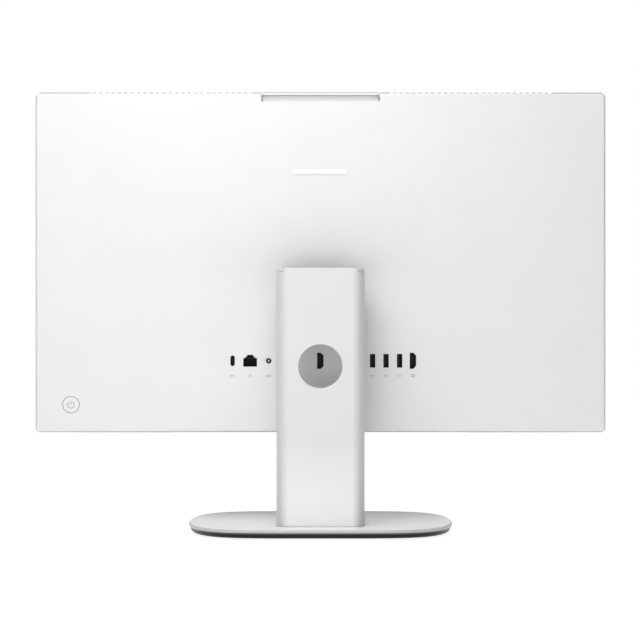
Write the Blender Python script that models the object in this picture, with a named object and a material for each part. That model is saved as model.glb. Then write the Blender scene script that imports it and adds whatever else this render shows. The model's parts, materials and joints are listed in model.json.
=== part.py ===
"""All-in-one desktop computer: a flat head that tilts on a fixed box column, on an oval weighted base.

The screen looks along -Y and the connectors along +Y. Z is up, and the feet stand on Z = 0.
Every length below is in millimetres; solid() turns them into metres as it makes a mesh.
"""

import math

import bmesh
import bpy
from mathutils import Matrix, Vector

MM = 0.001
GAP = 0.3
ROUND = 32

# Head
HEAD_W, HEAD_BOTTOM, HEAD_TOP = 543.0, 92.2, 416.2
HEAD_REAR, HEAD_SPLIT, HEAD_BEZEL, HEAD_FRONT = -6.5, -30.0, -38.0, -42.5
COVER_INSET, COVER_WALL, COVER_FILLET = 0.5, 2.4, 2.5
TOP_RADIUS, BOTTOM_RADIUS = 5.0, 3.4
COVER_X = HEAD_W / 2 - COVER_INSET
COVER_BOTTOM, COVER_TOP = HEAD_BOTTOM + COVER_INSET, HEAD_TOP - COVER_INSET
COVER_INNER = HEAD_REAR - COVER_WALL
FRAME_WALL, BEZEL_SIDE, BEZEL_CHIN = 3.0, 3.0, 14.0
GLASS_BACK = -41.2

# Vents along the top edge, a row on each side of the camera
VENT_PITCH, VENT_WIDTH, VENT_COUNT, VENT_FIRST, VENT_DEPTH = 6.0, 4.0, 26, 68.0, 15.0

# Speaker strips in the bottom edge
GRILLE_IN, GRILLE_OUT, GRILLE_Y, GRILLE_DEPTH = 141.0, 240.0, -19.0, 9.4
GRILLE_PROUD, GRILLE_SLOTS, GRILLE_SLOT = 0.8, 16, 3.0

# Camera that pulls up out of the top edge
CAMERA_W, CAMERA_BODY_W, CAMERA_DROP, CAMERA_LIP = 110.2, 107.6, 32.0, 2.2
CAMERA_FRONT, CAMERA_BACK, CAMERA_WALL = -28.0, -14.2, 2.0
COVE_HEIGHT, COVE_DEPTH, CAMERA_GAP = 6.5, 5.0, 0.8
RAIL_W, RAIL_H, RIB = 6.0, 34.0, 1.6
LENS_Z, LENS_R = COVER_TOP - 7.8, 3.4

# Power button
BUTTON_X, BUTTON_Z, BUTTON_R, BUTTON_GAP = 237.2, 118.9, 7.7, 0.45

# Connectors, all on one row
PORT_Z, BOARD_BACK, BOARD_FRONT = 160.6, -22.0, -23.6
PORT_FACE = COVER_INNER - GAP
USB_C_X, ETHERNET_X, POWER_X, HDMI_OUT_X = 83.6, 66.9, 49.3, 0.2
USB_A_X, HDMI_IN_X = (-49.5, -62.3, -75.2), -87.9
POWER_R, POWER_RECESS_R, POWER_RECESS, POWER_PIN_R, POWER_BARREL_R = 2.6, 4.8, 0.4, 0.9, 4.3
SHELL, PLAY = 0.8, 0.1
BOARD_LEFT, BOARD_RIGHT, BOARD_LOW, BOARD_HIGH = -112.0, 104.0, 148.0, 326.0
CPU_X, CPU_Z = -12.0, 256.0

CPU_SIZE, CPU_HEIGHT, SINK_W, SINK_LOW, SINK_HIGH = 32.0, 1.2, 64.0, 30.0, 30.0
SINK_PLATE, SINK_HEIGHT, SINK_FIN, SINK_PITCH, SINK_SHELF = 3.0, 8.6, 1.2, 4.0, 16.0
MEMORY_L, MEMORY_H, MEMORY_PITCH, MEMORY_THICK = 68.0, 9.0, 14.0, 4.0
CELL_X, CELL_Z, CELL_R, CELL_THICK = -85.0, 200.0, 10.0, 3.0

# Fan beside the board, blowing up through the fins
FAN_X, FAN_Z, FAN_SIZE, FAN_R, FAN_FRONT, FAN_BACK = 165.0, 330.0, 80.0, 33.0, -29.5, -10.6
FAN_WALL, FAN_INLET_R, BLADES, HUB_R, BLADE_MID_R = 1.5, 22.0, 13, 14.0, 22.0
STACK_BACK, STACK_FIN, STACK_PITCH, STACK_LOW, STACK_HIGH = -17.2, 0.8, 3.0, 6.0, 26.0
PIPE_R, PIPE_Y, PIPE_TURN_X, PIPE_END_X = 2.2, -14.6, 112.0, 200.0

# Speakers over the grilles
SPEAKER_IN, SPEAKER_OUT, SPEAKER_FRONT, SPEAKER_BACK = 146.0, 222.0, -29.5, -12.0
SPEAKER_LOW, SPEAKER_HIGH = 97.0, 130.0

# Plain trim on the rear cover
TRIM_HALF, TRIM_LOW, TRIM_HIGH, TRIM_THICK = 26.0, 338.0, 343.0, 0.5

# Stand
BASE_A, BASE_B, BASE_N, BASE_M, BASE_POINTS = 124.2, 100.0, 5.2, 2.3, 96
BASE_TOP, BASE_DISH, BASE_UNDER, SKIRT_TOP, SKIRT_FOOT = 10.0, 9.2, 6.5, 6.2, 1.7
PLATE_TOP, PLATE_BOTTOM, FOOT_TOP = 6.2, 2.3, 2.0
FOOT_X, FOOT_Y, FOOT_R = 88.0, 62.0, 8.0
COLUMN_W, COLUMN_FRONT, COLUMN_REAR, COLUMN_CUT, COLUMN_WALL = 81.6, 21.5, 63.5, 6.4, 2.2
COLUMN_FOOT, COLUMN_TOP, CAP_HEIGHT = 9.5, 247.4, 3.8
COLUMN_MID = (COLUMN_FRONT + COLUMN_REAR) / 2
HOLE_Z, HOLE_R, SLEEVE_WALL = 156.8, 20.1, 2.0
SPINE_X, SPINE_FRONT, SPINE_BACK, SPINE_TOP, SPINE_WALL = 34.0, 28.0, 48.0, 238.0, 2.0
SCREW_Y, SCREW_R, SCREW_HEAD_R = 36.0, 3.9, 11.0

# Tilt hinge between the column and the head
HINGE_Y, HINGE_Z, HINGE_R, SHAFT_R, RUNNING = 7.0, 215.0, 8.0, 3.0, 0.08
HINGE_PLATE_BACK = -3.2
ARM_X, LUG_X, LUG_W = 12.0, 22.0, 8.0

# Colours
WHITE = (0.86, 0.87, 0.88)
SEAM = (0.55, 0.56, 0.58)
BLACK = (0.02, 0.02, 0.022)
STEEL = (0.55, 0.56, 0.58)
BOARD = (0.02, 0.12, 0.07)
COPPER = (0.72, 0.36, 0.2)


# ---------------------------------------------------------------- helpers
def clear_scene():
    for obj in list(bpy.data.objects):
        bpy.data.objects.remove(obj, do_unlink=True)


def material(name, colour, roughness, metallic=0.0):
    made = bpy.data.materials.new(name)
    made.use_nodes = True
    shader = made.node_tree.nodes["Principled BSDF"]
    shader.inputs["Base Color"].default_value = (*colour, 1.0)
    shader.inputs["Roughness"].default_value = roughness
    shader.inputs["Metallic"].default_value = metallic
    return made


def solid(name, bm, look=None, smooth=None):
    """Object from a bmesh in millimetres. Without a look it is a helper that renders never show."""
    bmesh.ops.recalc_face_normals(bm, faces=bm.faces[:])
    if bm.calc_volume(signed=True) < 0:
        bmesh.ops.reverse_faces(bm, faces=bm.faces[:])
    bmesh.ops.scale(bm, vec=Vector((MM, MM, MM)), verts=bm.verts[:])
    mesh = bpy.data.meshes.new(name)
    bm.to_mesh(mesh)
    bm.free()
    obj = bpy.data.objects.new(name, mesh)
    bpy.context.scene.collection.objects.link(obj)
    if look is None:
        obj.hide_render = True
        obj.display_type = "WIRE"
        return obj
    mesh.materials.append(material(name, *look))
    if smooth is not None:
        mesh.shade_smooth()
        mesh.set_sharp_from_angle(angle=math.radians(smooth))
    return obj


def combine(obj, helper, operation="DIFFERENCE"):
    modifier = obj.modifiers.new(helper.name, "BOOLEAN")
    modifier.operation = operation
    modifier.solver = "EXACT"
    modifier.object = helper
    return obj


def loft(rows, bm=None):
    """Skin through rows of points, each row as long as the first, closed at both ends by a face."""
    bm = bm or bmesh.new()
    rings = [[bm.verts.new(point) for point in row] for row in rows]
    count = len(rings[0])
    for low, high in zip(rings, rings[1:]):
        for i in range(count):
            j = (i + 1) % count
            bm.faces.new((low[i], low[j], high[j], high[i]))
    bm.faces.new(rings[0])
    bm.faces.new(rings[-1])
    return bm


def ring_loft(rows):
    """Skin through rows of points that come back round to the first, as a frame or tube does."""
    bm = bmesh.new()
    rings = [[bm.verts.new(point) for point in row] for row in rows]
    count = len(rings[0])
    for low, high in zip(rings, rings[1:] + rings[:1]):
        for i in range(count):
            j = (i + 1) % count
            bm.faces.new((low[i], low[j], high[j], high[i]))
    return bm


def box(x0, x1, y0, y1, z0, z1, bm=None):
    bm = bm or bmesh.new()
    centre = Vector(((x0 + x1) / 2, (y0 + y1) / 2, (z0 + z1) / 2))
    size = Matrix.Diagonal((x1 - x0, y1 - y0, z1 - z0, 1.0))
    bmesh.ops.create_cube(bm, size=1.0, matrix=Matrix.Translation(centre) @ size)
    return bm


def bevelled(bm, width, segments=2):
    bmesh.ops.bevel(
        bm, geom=bm.edges[:], offset=width, segments=segments, profile=0.5, affect="EDGES", clamp_overlap=True
    )
    return bm


def rounded(x0, x1, z0, z1, low, high, inset=0.0, steps=4):
    """Rectangle outline in X and Z, its two lower corners rounded by low and its two upper by high."""
    x0, x1, z0, z1 = x0 + inset, x1 - inset, z0 + inset, z1 - inset
    low, high = max(low - inset, 0.4), max(high - inset, 0.4)
    corners = ((x1, z0, low, -90), (x1, z1, high, 0), (x0, z1, high, 90), (x0, z0, low, 180))
    points = []
    for (x, z, r, start), (sx, sz) in zip(corners, ((-1, 1), (-1, -1), (1, -1), (1, 1))):
        for i in range(steps + 1):
            turn = math.radians(start + 90 * i / steps)
            points.append((x + sx * r + r * math.cos(turn), z + sz * r + r * math.sin(turn)))
    return points


def at_y(outline, y):
    return [(x, y, z) for x, z in outline]


def at_z(outline, z):
    return [(x, y, z) for x, y in outline]


def at_x(outline, x):
    return [(x, y, z) for y, z in outline]


def turned(profile, axis, centre, count=ROUND, bm=None):
    """Solid of revolution from (radius, distance) pairs, the first and last capped."""
    rows = []
    for radius, along in profile:
        row = []
        for i in range(count):
            turn = 2 * math.pi * (i + 0.5) / count
            a, b = radius * math.cos(turn), radius * math.sin(turn)
            offset = {"X": (along, a, b), "Y": (b, along, a), "Z": (a, b, along)}[axis]
            row.append(tuple(c + o for c, o in zip(centre, offset)))
        rows.append(row)
    return loft(rows, bm)


def tube(profile, axis, centre, count=ROUND):
    """Ring of revolution: the profile closes on itself and stays off the axis."""
    bm = turned(profile + profile[:1], axis, centre, count)
    for face in [f for f in bm.faces if len(f.verts) == count]:
        bm.faces.remove(face)
    bmesh.ops.remove_doubles(bm, verts=bm.verts[:], dist=1e-5)
    return bm


def superellipse(inset):
    a, b = BASE_A - inset, BASE_B - inset
    points = []
    for i in range(BASE_POINTS):
        turn = 2 * math.pi * (i + 0.5) / BASE_POINTS
        c, s = math.cos(turn), math.sin(turn)
        points.append(
            (math.copysign(a * abs(c) ** (2 / BASE_N), c), math.copysign(b * abs(s) ** (2 / BASE_M), s))
        )
    return points


# ---------------------------------------------------------------- stand
def base():
    rows = [(0.9, BASE_UNDER), (0.3, 6.8), (0.0, 7.6), (0.3, 8.7), (1.0, 9.5), (2.2, 9.95), (3.6, BASE_TOP)]
    rows += [(6.0, 9.75), (11.0, 9.4), (18.0, BASE_DISH)]
    shell = solid("base_top_shell", loft([at_z(superellipse(i), z) for i, z in rows]), (WHITE, 0.35), 40)
    bore = turned([(SCREW_R + GAP, 5.0), (SCREW_R + GAP, 12.0)], "Z", (0, SCREW_Y, 0))
    combine(shell, solid("cut_base_bore", bore))

    skirt = [(1.3, SKIRT_TOP), (1.7, 4.6), (2.8, 2.6), (4.6, SKIRT_FOOT), (6.0, SKIRT_FOOT), (6.0, SKIRT_TOP)]
    solid("base_skirt", ring_loft([at_z(superellipse(i), z) for i, z in skirt]), (BLACK, 0.2), 40)

    plate = loft([at_z(superellipse(i), z) for i, z in ((6.8, PLATE_BOTTOM), (6.4, 2.8), (6.4, PLATE_TOP))])
    plate = solid("base_weight_plate", plate, ((0.25, 0.25, 0.26), 0.5, 0.9), 40)
    pocket = turned([(SCREW_HEAD_R + 1.5, 1.0), (SCREW_HEAD_R + 1.5, 7.0)], "Z", (0, SCREW_Y, 0))
    combine(plate, solid("cut_plate_pocket", pocket))

    number = 0
    for x in (-FOOT_X, FOOT_X):
        for y in (-FOOT_Y, FOOT_Y):
            number += 1
            pad = turned([(FOOT_R - 0.8, 0.0), (FOOT_R, 0.8), (FOOT_R, FOOT_TOP)], "Z", (x, y, 0), 24)
            solid(f"foot_{number}", pad, ((0.03, 0.03, 0.03), 0.85), 40)

    head = [(SCREW_HEAD_R - 0.8, 1.2), (SCREW_HEAD_R, 1.9), (SCREW_HEAD_R, 4.4), (SCREW_HEAD_R - 0.6, 5.0)]
    screw = turned(head + [(SCREW_R, 5.0), (SCREW_R, 17.0), (SCREW_R - 0.8, 18.0)], "Z", (0, SCREW_Y, 0))
    screw = solid("stand_thumbscrew", screw, (STEEL, 0.3, 1.0), 40)
    combine(screw, solid("cut_thumb_slot", box(-9, 9, SCREW_Y - 0.8, SCREW_Y + 0.8, 0.0, 2.6)))


def column_outline(inset, first, last):
    """Half of the column's plan, from one side wall round the rear to the other, its corners cut off."""
    x, rear, soft = COLUMN_W / 2 - inset, last - inset, 1.1
    cut = COLUMN_CUT - inset * (2 - math.sqrt(2))
    low, high, slant = Vector((x, rear - cut)), Vector((x - cut, rear)), Vector((-1, 1)).normalized()
    points = []
    lower = (low - Vector((0, soft)), low, low + slant * soft)
    upper = (high - slant * soft, high, high - Vector((soft, 0)))
    for before, bend, after in (lower, upper):
        points += [before, before.lerp(bend, 0.5).lerp(bend.lerp(after, 0.5), 0.5), after]
    corner = [tuple(point) for point in points]
    return [(x, first)] + corner + [(-px, py) for px, py in reversed(corner)] + [(-x, first)]


def column_plan(inset):
    """The column's whole plan: the rear half and its mirror image."""
    half = column_outline(inset, COLUMN_MID, COLUMN_REAR)
    return half + [(px, 2 * COLUMN_MID - py) for px, py in reversed(half[1:-1])]


def hole_cutter(name, radius):
    """Round cutter through the column, flared at both faces so that each rim is rounded."""
    flare, out = 1.0, 1.0
    profile = [(radius + flare + 2.0, COLUMN_REAR + out)]
    for turn in (90, 60, 30, 0):
        t = math.radians(turn)
        profile.append((radius + flare * (1 - math.cos(t)), COLUMN_REAR - flare + flare * math.sin(t)))
    front = [(r, COLUMN_FRONT + COLUMN_REAR - y) for r, y in reversed(profile)]
    return solid(name, turned(profile + front, "Y", (0, 0, HOLE_Z), 48))


def column():
    split = GAP / 2
    outer = column_outline(0, COLUMN_MID + split, COLUMN_REAR)
    inner = column_outline(COLUMN_WALL, COLUMN_MID + split, COLUMN_REAR)
    shape = outer + inner[::-1]
    rear = loft([at_z(shape, COLUMN_FOOT), at_z(shape, COLUMN_TOP)])
    rear = solid("column_rear_shell", rear, (WHITE, 0.35), 35)
    mirrored = [(x, 2 * COLUMN_MID - y) for x, y in shape]
    top = COLUMN_TOP - CAP_HEIGHT
    front = loft([at_z(mirrored, COLUMN_FOOT), at_z(mirrored, top)])
    front = solid("column_front_shell", front, (WHITE, 0.35), 35)
    hole = hole_cutter("cut_column_hole", HOLE_R)
    combine(rear, hole)
    combine(front, hole)

    # The rear shell's flat face reaches the top; beside it the cap shows at both cut corners.
    flat = COLUMN_W / 2 - COLUMN_CUT
    notch = box(flat, 50, COLUMN_MID - 5, COLUMN_REAR + 5, top, COLUMN_TOP + 5)
    notch = box(-50, -flat, COLUMN_MID - 5, COLUMN_REAR + 5, top, COLUMN_TOP + 5, notch)
    combine(rear, solid("cut_cap_corners", notch))

    plan, soft = column_plan(0.4), column_plan(1.2)
    cap = loft([at_z(plan, top + GAP), at_z(plan, COLUMN_TOP - 0.8), at_z(soft, COLUMN_TOP)])
    cap = solid("column_top_cap", cap, (SEAM, 0.45), 35)
    wall, rear_far, high = COLUMN_REAR - COLUMN_WALL - GAP, COLUMN_REAR + 5, COLUMN_TOP + 5
    room = box(-flat - GAP, flat + GAP, wall, rear_far, top - 5, high)
    combine(cap, solid("cut_cap_rear", room))
    corners = bmesh.new()
    for side in (-1, 1):
        a, b = sorted((side * (flat - 2.6), side * (flat + GAP)))
        box(a, b, wall - 1.4, rear_far, top - 5, high, corners)
    combine(cap, solid("cut_cap_rear_corners", corners))

    sleeve_r, inset = HOLE_R + SLEEVE_WALL, COLUMN_WALL + GAP
    y0, y1 = COLUMN_FRONT + inset, COLUMN_REAR - inset
    sleeve = [(HOLE_R, y0), (sleeve_r, y0), (sleeve_r, y1), (HOLE_R, y1)]
    solid("cable_sleeve", tube(sleeve, "Y", (0, 0, HOLE_Z), 48), (WHITE, 0.4), 35)

    sx, inner_x, web = SPINE_X, SPINE_X - SPINE_WALL, SPINE_BACK - SPINE_WALL
    channel = [(-sx, SPINE_FRONT), (-sx, SPINE_BACK), (sx, SPINE_BACK), (sx, SPINE_FRONT)]
    channel += [(inner_x, SPINE_FRONT), (inner_x, web), (-inner_x, web), (-inner_x, SPINE_FRONT)]
    spine = loft([at_z(channel, COLUMN_FOOT), at_z(channel, SPINE_TOP)])
    spine = solid("column_spine", spine, (STEEL, 0.4, 1.0))
    bore = turned([(sleeve_r + GAP, SPINE_FRONT - 5), (sleeve_r + GAP, SPINE_BACK + 5)], "Y", (0, 0, HOLE_Z), 48)
    combine(spine, solid("cut_spine_hole", bore))

    block = bevelled(box(-30, 30, SPINE_FRONT + 0.5, web - GAP, COLUMN_FOOT, 22.0), 0.8)
    block = solid("column_foot_block", block, ((0.3, 0.3, 0.31), 0.5, 0.9))
    bore = turned([(SCREW_R + GAP, 5.0), (SCREW_R + GAP, 30.0)], "Z", (0, SCREW_Y, 0))
    combine(block, solid("cut_foot_bore", bore))


def lug(x0, x1, wall_y, half_height, towards):
    """Hinge ear: a rounded nose on the pivot, widening to its plate."""
    outline, steps = [], 8
    for i in range(steps + 1):
        t = math.radians(-90 + 180 * i / steps)
        y = HINGE_Y - towards * HINGE_R * math.cos(t)
        outline.append((y, HINGE_Z + HINGE_R * math.sin(t)))
    outline += [(wall_y, HINGE_Z + half_height), (wall_y, HINGE_Z - half_height)]
    return loft([at_x(outline, x0), at_x(outline, x1)])


def hinge():
    steel = ((0.2, 0.2, 0.21), 0.4, 0.9)
    plate = bevelled(box(-34, 34, 17.9, 21.2, HINGE_Z - 26, HINGE_Z + 26), 0.6, 1)
    bracket = solid("hinge_bracket", plate, steel)
    arm_top = HINGE_PLATE_BACK
    plate = bevelled(box(-36, 36, HEAD_REAR + GAP, arm_top, HINGE_Z - 33, HINGE_Z + 33), 0.6, 1)
    arm = solid("hinge_arm", plate, steel)
    for side in (-1, 1):
        a, b = sorted((side * LUG_X, side * (LUG_X + LUG_W)))
        combine(bracket, solid(f"add_bracket_lug_{side}", lug(a, b, 18.4, 14.0, 1)), "UNION")
        a, b = sorted((side * ARM_X, side * (ARM_X + LUG_W)))
        combine(arm, solid(f"add_arm_lug_{side}", lug(a, b, arm_top - 0.5, 12.0, -1)), "UNION")
    bore = [(SHAFT_R + RUNNING, -40.0), (SHAFT_R + RUNNING, 40.0)]
    cutter = solid("cut_hinge_bore", turned(bore, "X", (0, HINGE_Y, HINGE_Z)))
    combine(bracket, cutter)
    combine(arm, cutter)

    end = LUG_X + LUG_W + GAP
    shaft = [(SHAFT_R + 2, -end - 3), (SHAFT_R + 2, -end), (SHAFT_R, -end), (SHAFT_R, end + 5)]
    solid("hinge_shaft", turned(shaft, "X", (0, HINGE_Y, HINGE_Z)), (STEEL, 0.3, 1.0), 40)
    nut = [(SHAFT_R + RUNNING, end), (SHAFT_R + 2.6, end), (SHAFT_R + 2.6, end + 4), (SHAFT_R + RUNNING, end + 4)]
    solid("hinge_nut", tube(nut, "X", (0, HINGE_Y, HINGE_Z), 6 * 4), (STEEL, 0.35, 1.0))
    lo, hi = ARM_X + LUG_W + GAP, LUG_X - GAP
    for side, label in ((-1, "right"), (1, "left")):
        a, b = sorted((side * lo, side * hi))
        bore_r = SHAFT_R + RUNNING
        washer = [(bore_r, a), (bore_r + 3.5, a), (bore_r + 3.5, b), (bore_r, b)]
        made = tube(washer, "X", (0, HINGE_Y, HINGE_Z), 24)
        solid(f"hinge_washer_{label}", made, ((0.7, 0.6, 0.35), 0.35, 1.0), 40)


# ---------------------------------------------------------------- head shell
def rear_cover():
    left, right = -COVER_X, COVER_X
    shape = (left, right, COVER_BOTTOM, COVER_TOP, BOTTOM_RADIUS, TOP_RADIUS)
    inside = rounded(*shape, inset=COVER_WALL)
    rows = [at_y(inside, COVER_INNER), at_y(inside, HEAD_SPLIT), at_y(rounded(*shape), HEAD_SPLIT)]
    for turn in (0, 22.5, 45, 67.5, 90):
        t = math.radians(turn)
        inset, drop = COVER_FILLET * (1 - math.cos(t)), COVER_FILLET * (1 - math.sin(t))
        rows.append(at_y(rounded(*shape, inset=inset), HEAD_REAR - drop))
    cover = solid("rear_cover", loft(rows), (WHITE, 0.35), 35)

    # Thick wall behind the finger cove
    half = CAMERA_W / 2
    cove_front = HEAD_REAR - COVE_DEPTH - 2.0
    back = box(-half - 3, half + 3, cove_front, HEAD_REAR - 1.0, COVER_TOP - COVE_HEIGHT - 6, COVER_TOP - 1.2)
    combine(cover, solid("add_cove_wall", back), "UNION")

    # Finger cove: a trough along X, deepest right under the camera's lip
    lip, opening = COVER_TOP - CAMERA_LIP, half + CAMERA_GAP
    radius = (COVE_DEPTH**2 + COVE_HEIGHT**2) / (2 * COVE_DEPTH)
    axis_y = HEAD_REAR - COVE_DEPTH + radius
    trough, steps = [(HEAD_REAR + 6, lip + 6), (HEAD_REAR - COVE_DEPTH, lip + 6)], 8
    reach = math.asin(min(1.0, COVE_HEIGHT / radius))
    for i in range(steps + 1):
        t = reach * i / steps
        trough.append((axis_y - radius * math.cos(t), lip - radius * math.sin(t)))
    trough.append((HEAD_REAR + 6, lip - COVE_HEIGHT - 0.01))
    combine(cover, solid("cut_cove", loft([at_x(trough, -opening), at_x(trough, opening)])))
    slits = bmesh.new()
    for side in (-1, 1):
        a, b = sorted((side * half, side * opening))
        box(a, b, cove_front - 1.0, HEAD_REAR + 5, lip - COVE_HEIGHT + 0.8, lip + 1.0, slits)
    combine(cover, solid("cut_cove_slits", slits))
    slot = box(-opening, opening, HEAD_SPLIT + 1.2, HEAD_REAR + 5, lip - GAP, HEAD_TOP + 5)
    combine(cover, solid("cut_camera_slot", slot))
    shaft_x = CAMERA_BODY_W / 2 + GAP
    shaft = box(-shaft_x, shaft_x, HEAD_SPLIT + 1.2, cove_front - 0.01, COVER_TOP - 8, HEAD_TOP + 5)
    combine(cover, solid("cut_camera_shaft", shaft))

    vents = bmesh.new()
    for side in (-1, 1):
        for i in range(VENT_COUNT):
            x = side * (VENT_FIRST + VENT_PITCH * i)
            y1 = HEAD_REAR - 0.9
            a, b = x - VENT_WIDTH / 2, x + VENT_WIDTH / 2
            box(a, b, y1 - VENT_DEPTH, y1, COVER_TOP - 5, COVER_TOP + 5, vents)
    combine(cover, solid("cut_vents", vents))

    far = HEAD_REAR + 5
    for name, kind, x in port_row():
        hole = loft([at_y(mouth(kind, x), COVER_INNER - 5), at_y(mouth(kind, x), far)])
        combine(cover, solid("cut_cover_" + name, hole))
    hole = [(BUTTON_R + BUTTON_GAP, COVER_INNER - 5), (BUTTON_R + BUTTON_GAP, far)]
    combine(cover, solid("cut_button", turned(hole, "Y", (BUTTON_X, 0, BUTTON_Z), 40)))
    floor = HEAD_REAR - POWER_RECESS
    hole = [(POWER_R, COVER_INNER - 5), (POWER_R, floor), (POWER_RECESS_R, floor), (POWER_RECESS_R, far)]
    combine(cover, solid("cut_cover_power_inlet", turned(hole, "Y", (POWER_X, 0, PORT_Z))))
    grilles = bmesh.new()
    for side in (-1, 1):
        a, b = sorted((side * (GRILLE_IN - GAP), side * (GRILLE_OUT + GAP)))
        half_depth = GRILLE_DEPTH / 2 + GAP
        box(a, b, GRILLE_Y - half_depth, GRILLE_Y + half_depth, COVER_BOTTOM - 5, COVER_BOTTOM + 5, grilles)
    combine(cover, solid("cut_grilles", grilles))


def front_frames():
    left, right = -HEAD_W / 2, HEAD_W / 2
    shape = (left, right, HEAD_BOTTOM, HEAD_TOP, BOTTOM_RADIUS, TOP_RADIUS)
    back, front = HEAD_SPLIT - GAP, HEAD_BEZEL
    rows = [at_y(rounded(*shape, inset=FRAME_WALL), back), at_y(rounded(*shape, inset=0.5), back)]
    rows += [at_y(rounded(*shape), back - 0.5), at_y(rounded(*shape), front)]
    rows.append(at_y(rounded(*shape, inset=FRAME_WALL), front))
    solid("mid_frame", ring_loft(rows), (SEAM, 0.4), 35)

    back = HEAD_BEZEL - GAP
    inner = rounded(left + BEZEL_SIDE, right - BEZEL_SIDE, HEAD_BOTTOM + BEZEL_CHIN, HEAD_TOP - BEZEL_SIDE, 1, 1)
    rows = [at_y(inner, back), at_y(rounded(*shape), back), at_y(rounded(*shape), HEAD_FRONT + 1.0)]
    rows += [at_y(rounded(*shape, inset=0.3), HEAD_FRONT + 0.3), at_y(rounded(*shape, inset=1.0), HEAD_FRONT)]
    rows.append(at_y(inner, HEAD_FRONT))
    solid("front_bezel", ring_loft(rows), (BLACK, 0.3), 35)


def screen():
    left, right = -HEAD_W / 2 + BEZEL_SIDE + GAP, HEAD_W / 2 - BEZEL_SIDE - GAP
    low, high = HEAD_BOTTOM + BEZEL_CHIN + GAP, HEAD_TOP - BEZEL_SIDE - GAP
    sheet = rounded(left, right, low, high, 0.8, 0.8, 0, 2)
    glass = loft([at_y(sheet, GLASS_BACK), at_y(sheet, HEAD_FRONT + 0.3)])
    solid("display_glass", glass, ((0.01, 0.01, 0.012), 0.15))
    panel = rounded(left + 0.5, right - 0.5, low + 0.5, high - 0.5, 1, 1, 0, 2)
    thin = rounded(left + 0.5, right - 0.5, low + 0.5, high - 0.5, 1, 1, 3.0, 2)
    rows = [at_y(panel, GLASS_BACK + GAP), at_y(panel, -35.4), at_y(thin, -34.4)]
    solid("lcd_panel", loft(rows), ((0.45, 0.46, 0.48), 0.4, 0.8))

    plate = rounded(-255, 255, 104, 404, 6, 6, 0, 3)
    chassis = solid("chassis_plate", loft([at_y(plate, -32.8), at_y(plate, -31.6)]), (STEEL, 0.45, 1.0))
    posts, windows = bmesh.new(), bmesh.new()
    for x in (BOARD_LEFT + 8, BOARD_RIGHT - 8):
        for z in (BOARD_LOW + 30, BOARD_HIGH - 8):
            turned([(3.0, -32.2), (3.0, BOARD_FRONT - GAP)], "Y", (x, 0, z), 12, posts)
    combine(chassis, solid("add_standoffs", posts), "UNION")
    for x0, x1 in ((-235, -135), (120, 235)):
        box(x0, x1, -36, -30, 150, 270, windows)
    combine(chassis, solid("cut_windows", windows))


# ---------------------------------------------------------------- inside the head
def board():
    slab = box(BOARD_LEFT, BOARD_RIGHT, BOARD_FRONT, BOARD_BACK, BOARD_LOW, BOARD_HIGH)
    solid("motherboard", slab, (BOARD, 0.5))
    on = BOARD_BACK + GAP
    half = CPU_SIZE / 2
    chip = box(CPU_X - half, CPU_X + half, on, on + CPU_HEIGHT, CPU_Z - half, CPU_Z + half)
    solid("processor", bevelled(chip, 0.3, 1), ((0.5, 0.5, 0.5), 0.3, 1.0))
    heatsink(on + CPU_HEIGHT + GAP)
    for i in range(2):
        low, left = BOARD_HIGH - 34 + MEMORY_PITCH * i, BOARD_LEFT + 20
        stick = box(left, left + MEMORY_L, on, on + MEMORY_THICK, low, low + MEMORY_H)
        solid(f"memory_module_{i + 1}", bevelled(stick, 0.4, 1), ((0.03, 0.14, 0.05), 0.5))
    drive = box(30, 92, on, on + 2.2, BOARD_HIGH - 44, BOARD_HIGH - 22)
    solid("storage_drive", bevelled(drive, 0.4, 1), ((0.02, 0.03, 0.05), 0.4))
    card = box(60, 90, on, on + 2.6, 226, 248)
    solid("wireless_card", bevelled(card, 0.4, 1), ((0.7, 0.7, 0.68), 0.4, 0.8))
    cell = [(CELL_R - 0.8, on), (CELL_R, on + 0.5), (CELL_R, on + CELL_THICK)]
    solid("coin_cell", turned(cell, "Y", (CELL_X, 0, CELL_Z)), (STEEL, 0.3, 1.0), 40)
    for side, label in ((-1, "right"), (1, "left")):
        x = side * 250
        strip = box(x - 6, x + 6, -28.0, -26.8, 300, 380)
        solid(f"antenna_{label}", bevelled(strip, 0.3, 1), ((0.75, 0.5, 0.15), 0.5))


def heatsink(seat):
    """Comb of fins on a plate, with a bare shelf above them for the heat pipe."""
    left, right, low, high = CPU_X - SINK_W / 2, CPU_X + SINK_W / 2, seat + SINK_PLATE, seat + SINK_HEIGHT
    comb = [(left, seat), (right, seat), (right, low)]
    for i in range(int(SINK_W // SINK_PITCH)):
        x = right - SINK_PITCH * (i + 0.5) + SINK_FIN / 2
        comb += [(x, low), (x, high), (x - SINK_FIN, high), (x - SINK_FIN, low)]
    comb.append((left, low))
    top = CPU_Z + SINK_HIGH
    fins = loft([at_z(comb, CPU_Z - SINK_LOW), at_z(comb, top - SINK_SHELF)])
    sink = solid("heatsink", fins, ((0.6, 0.61, 0.63), 0.35, 1.0))
    shelf = box(left, right, seat, low, top - SINK_SHELF - 1, top)
    combine(sink, solid("add_heatsink_shelf", shelf), "UNION")


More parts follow.
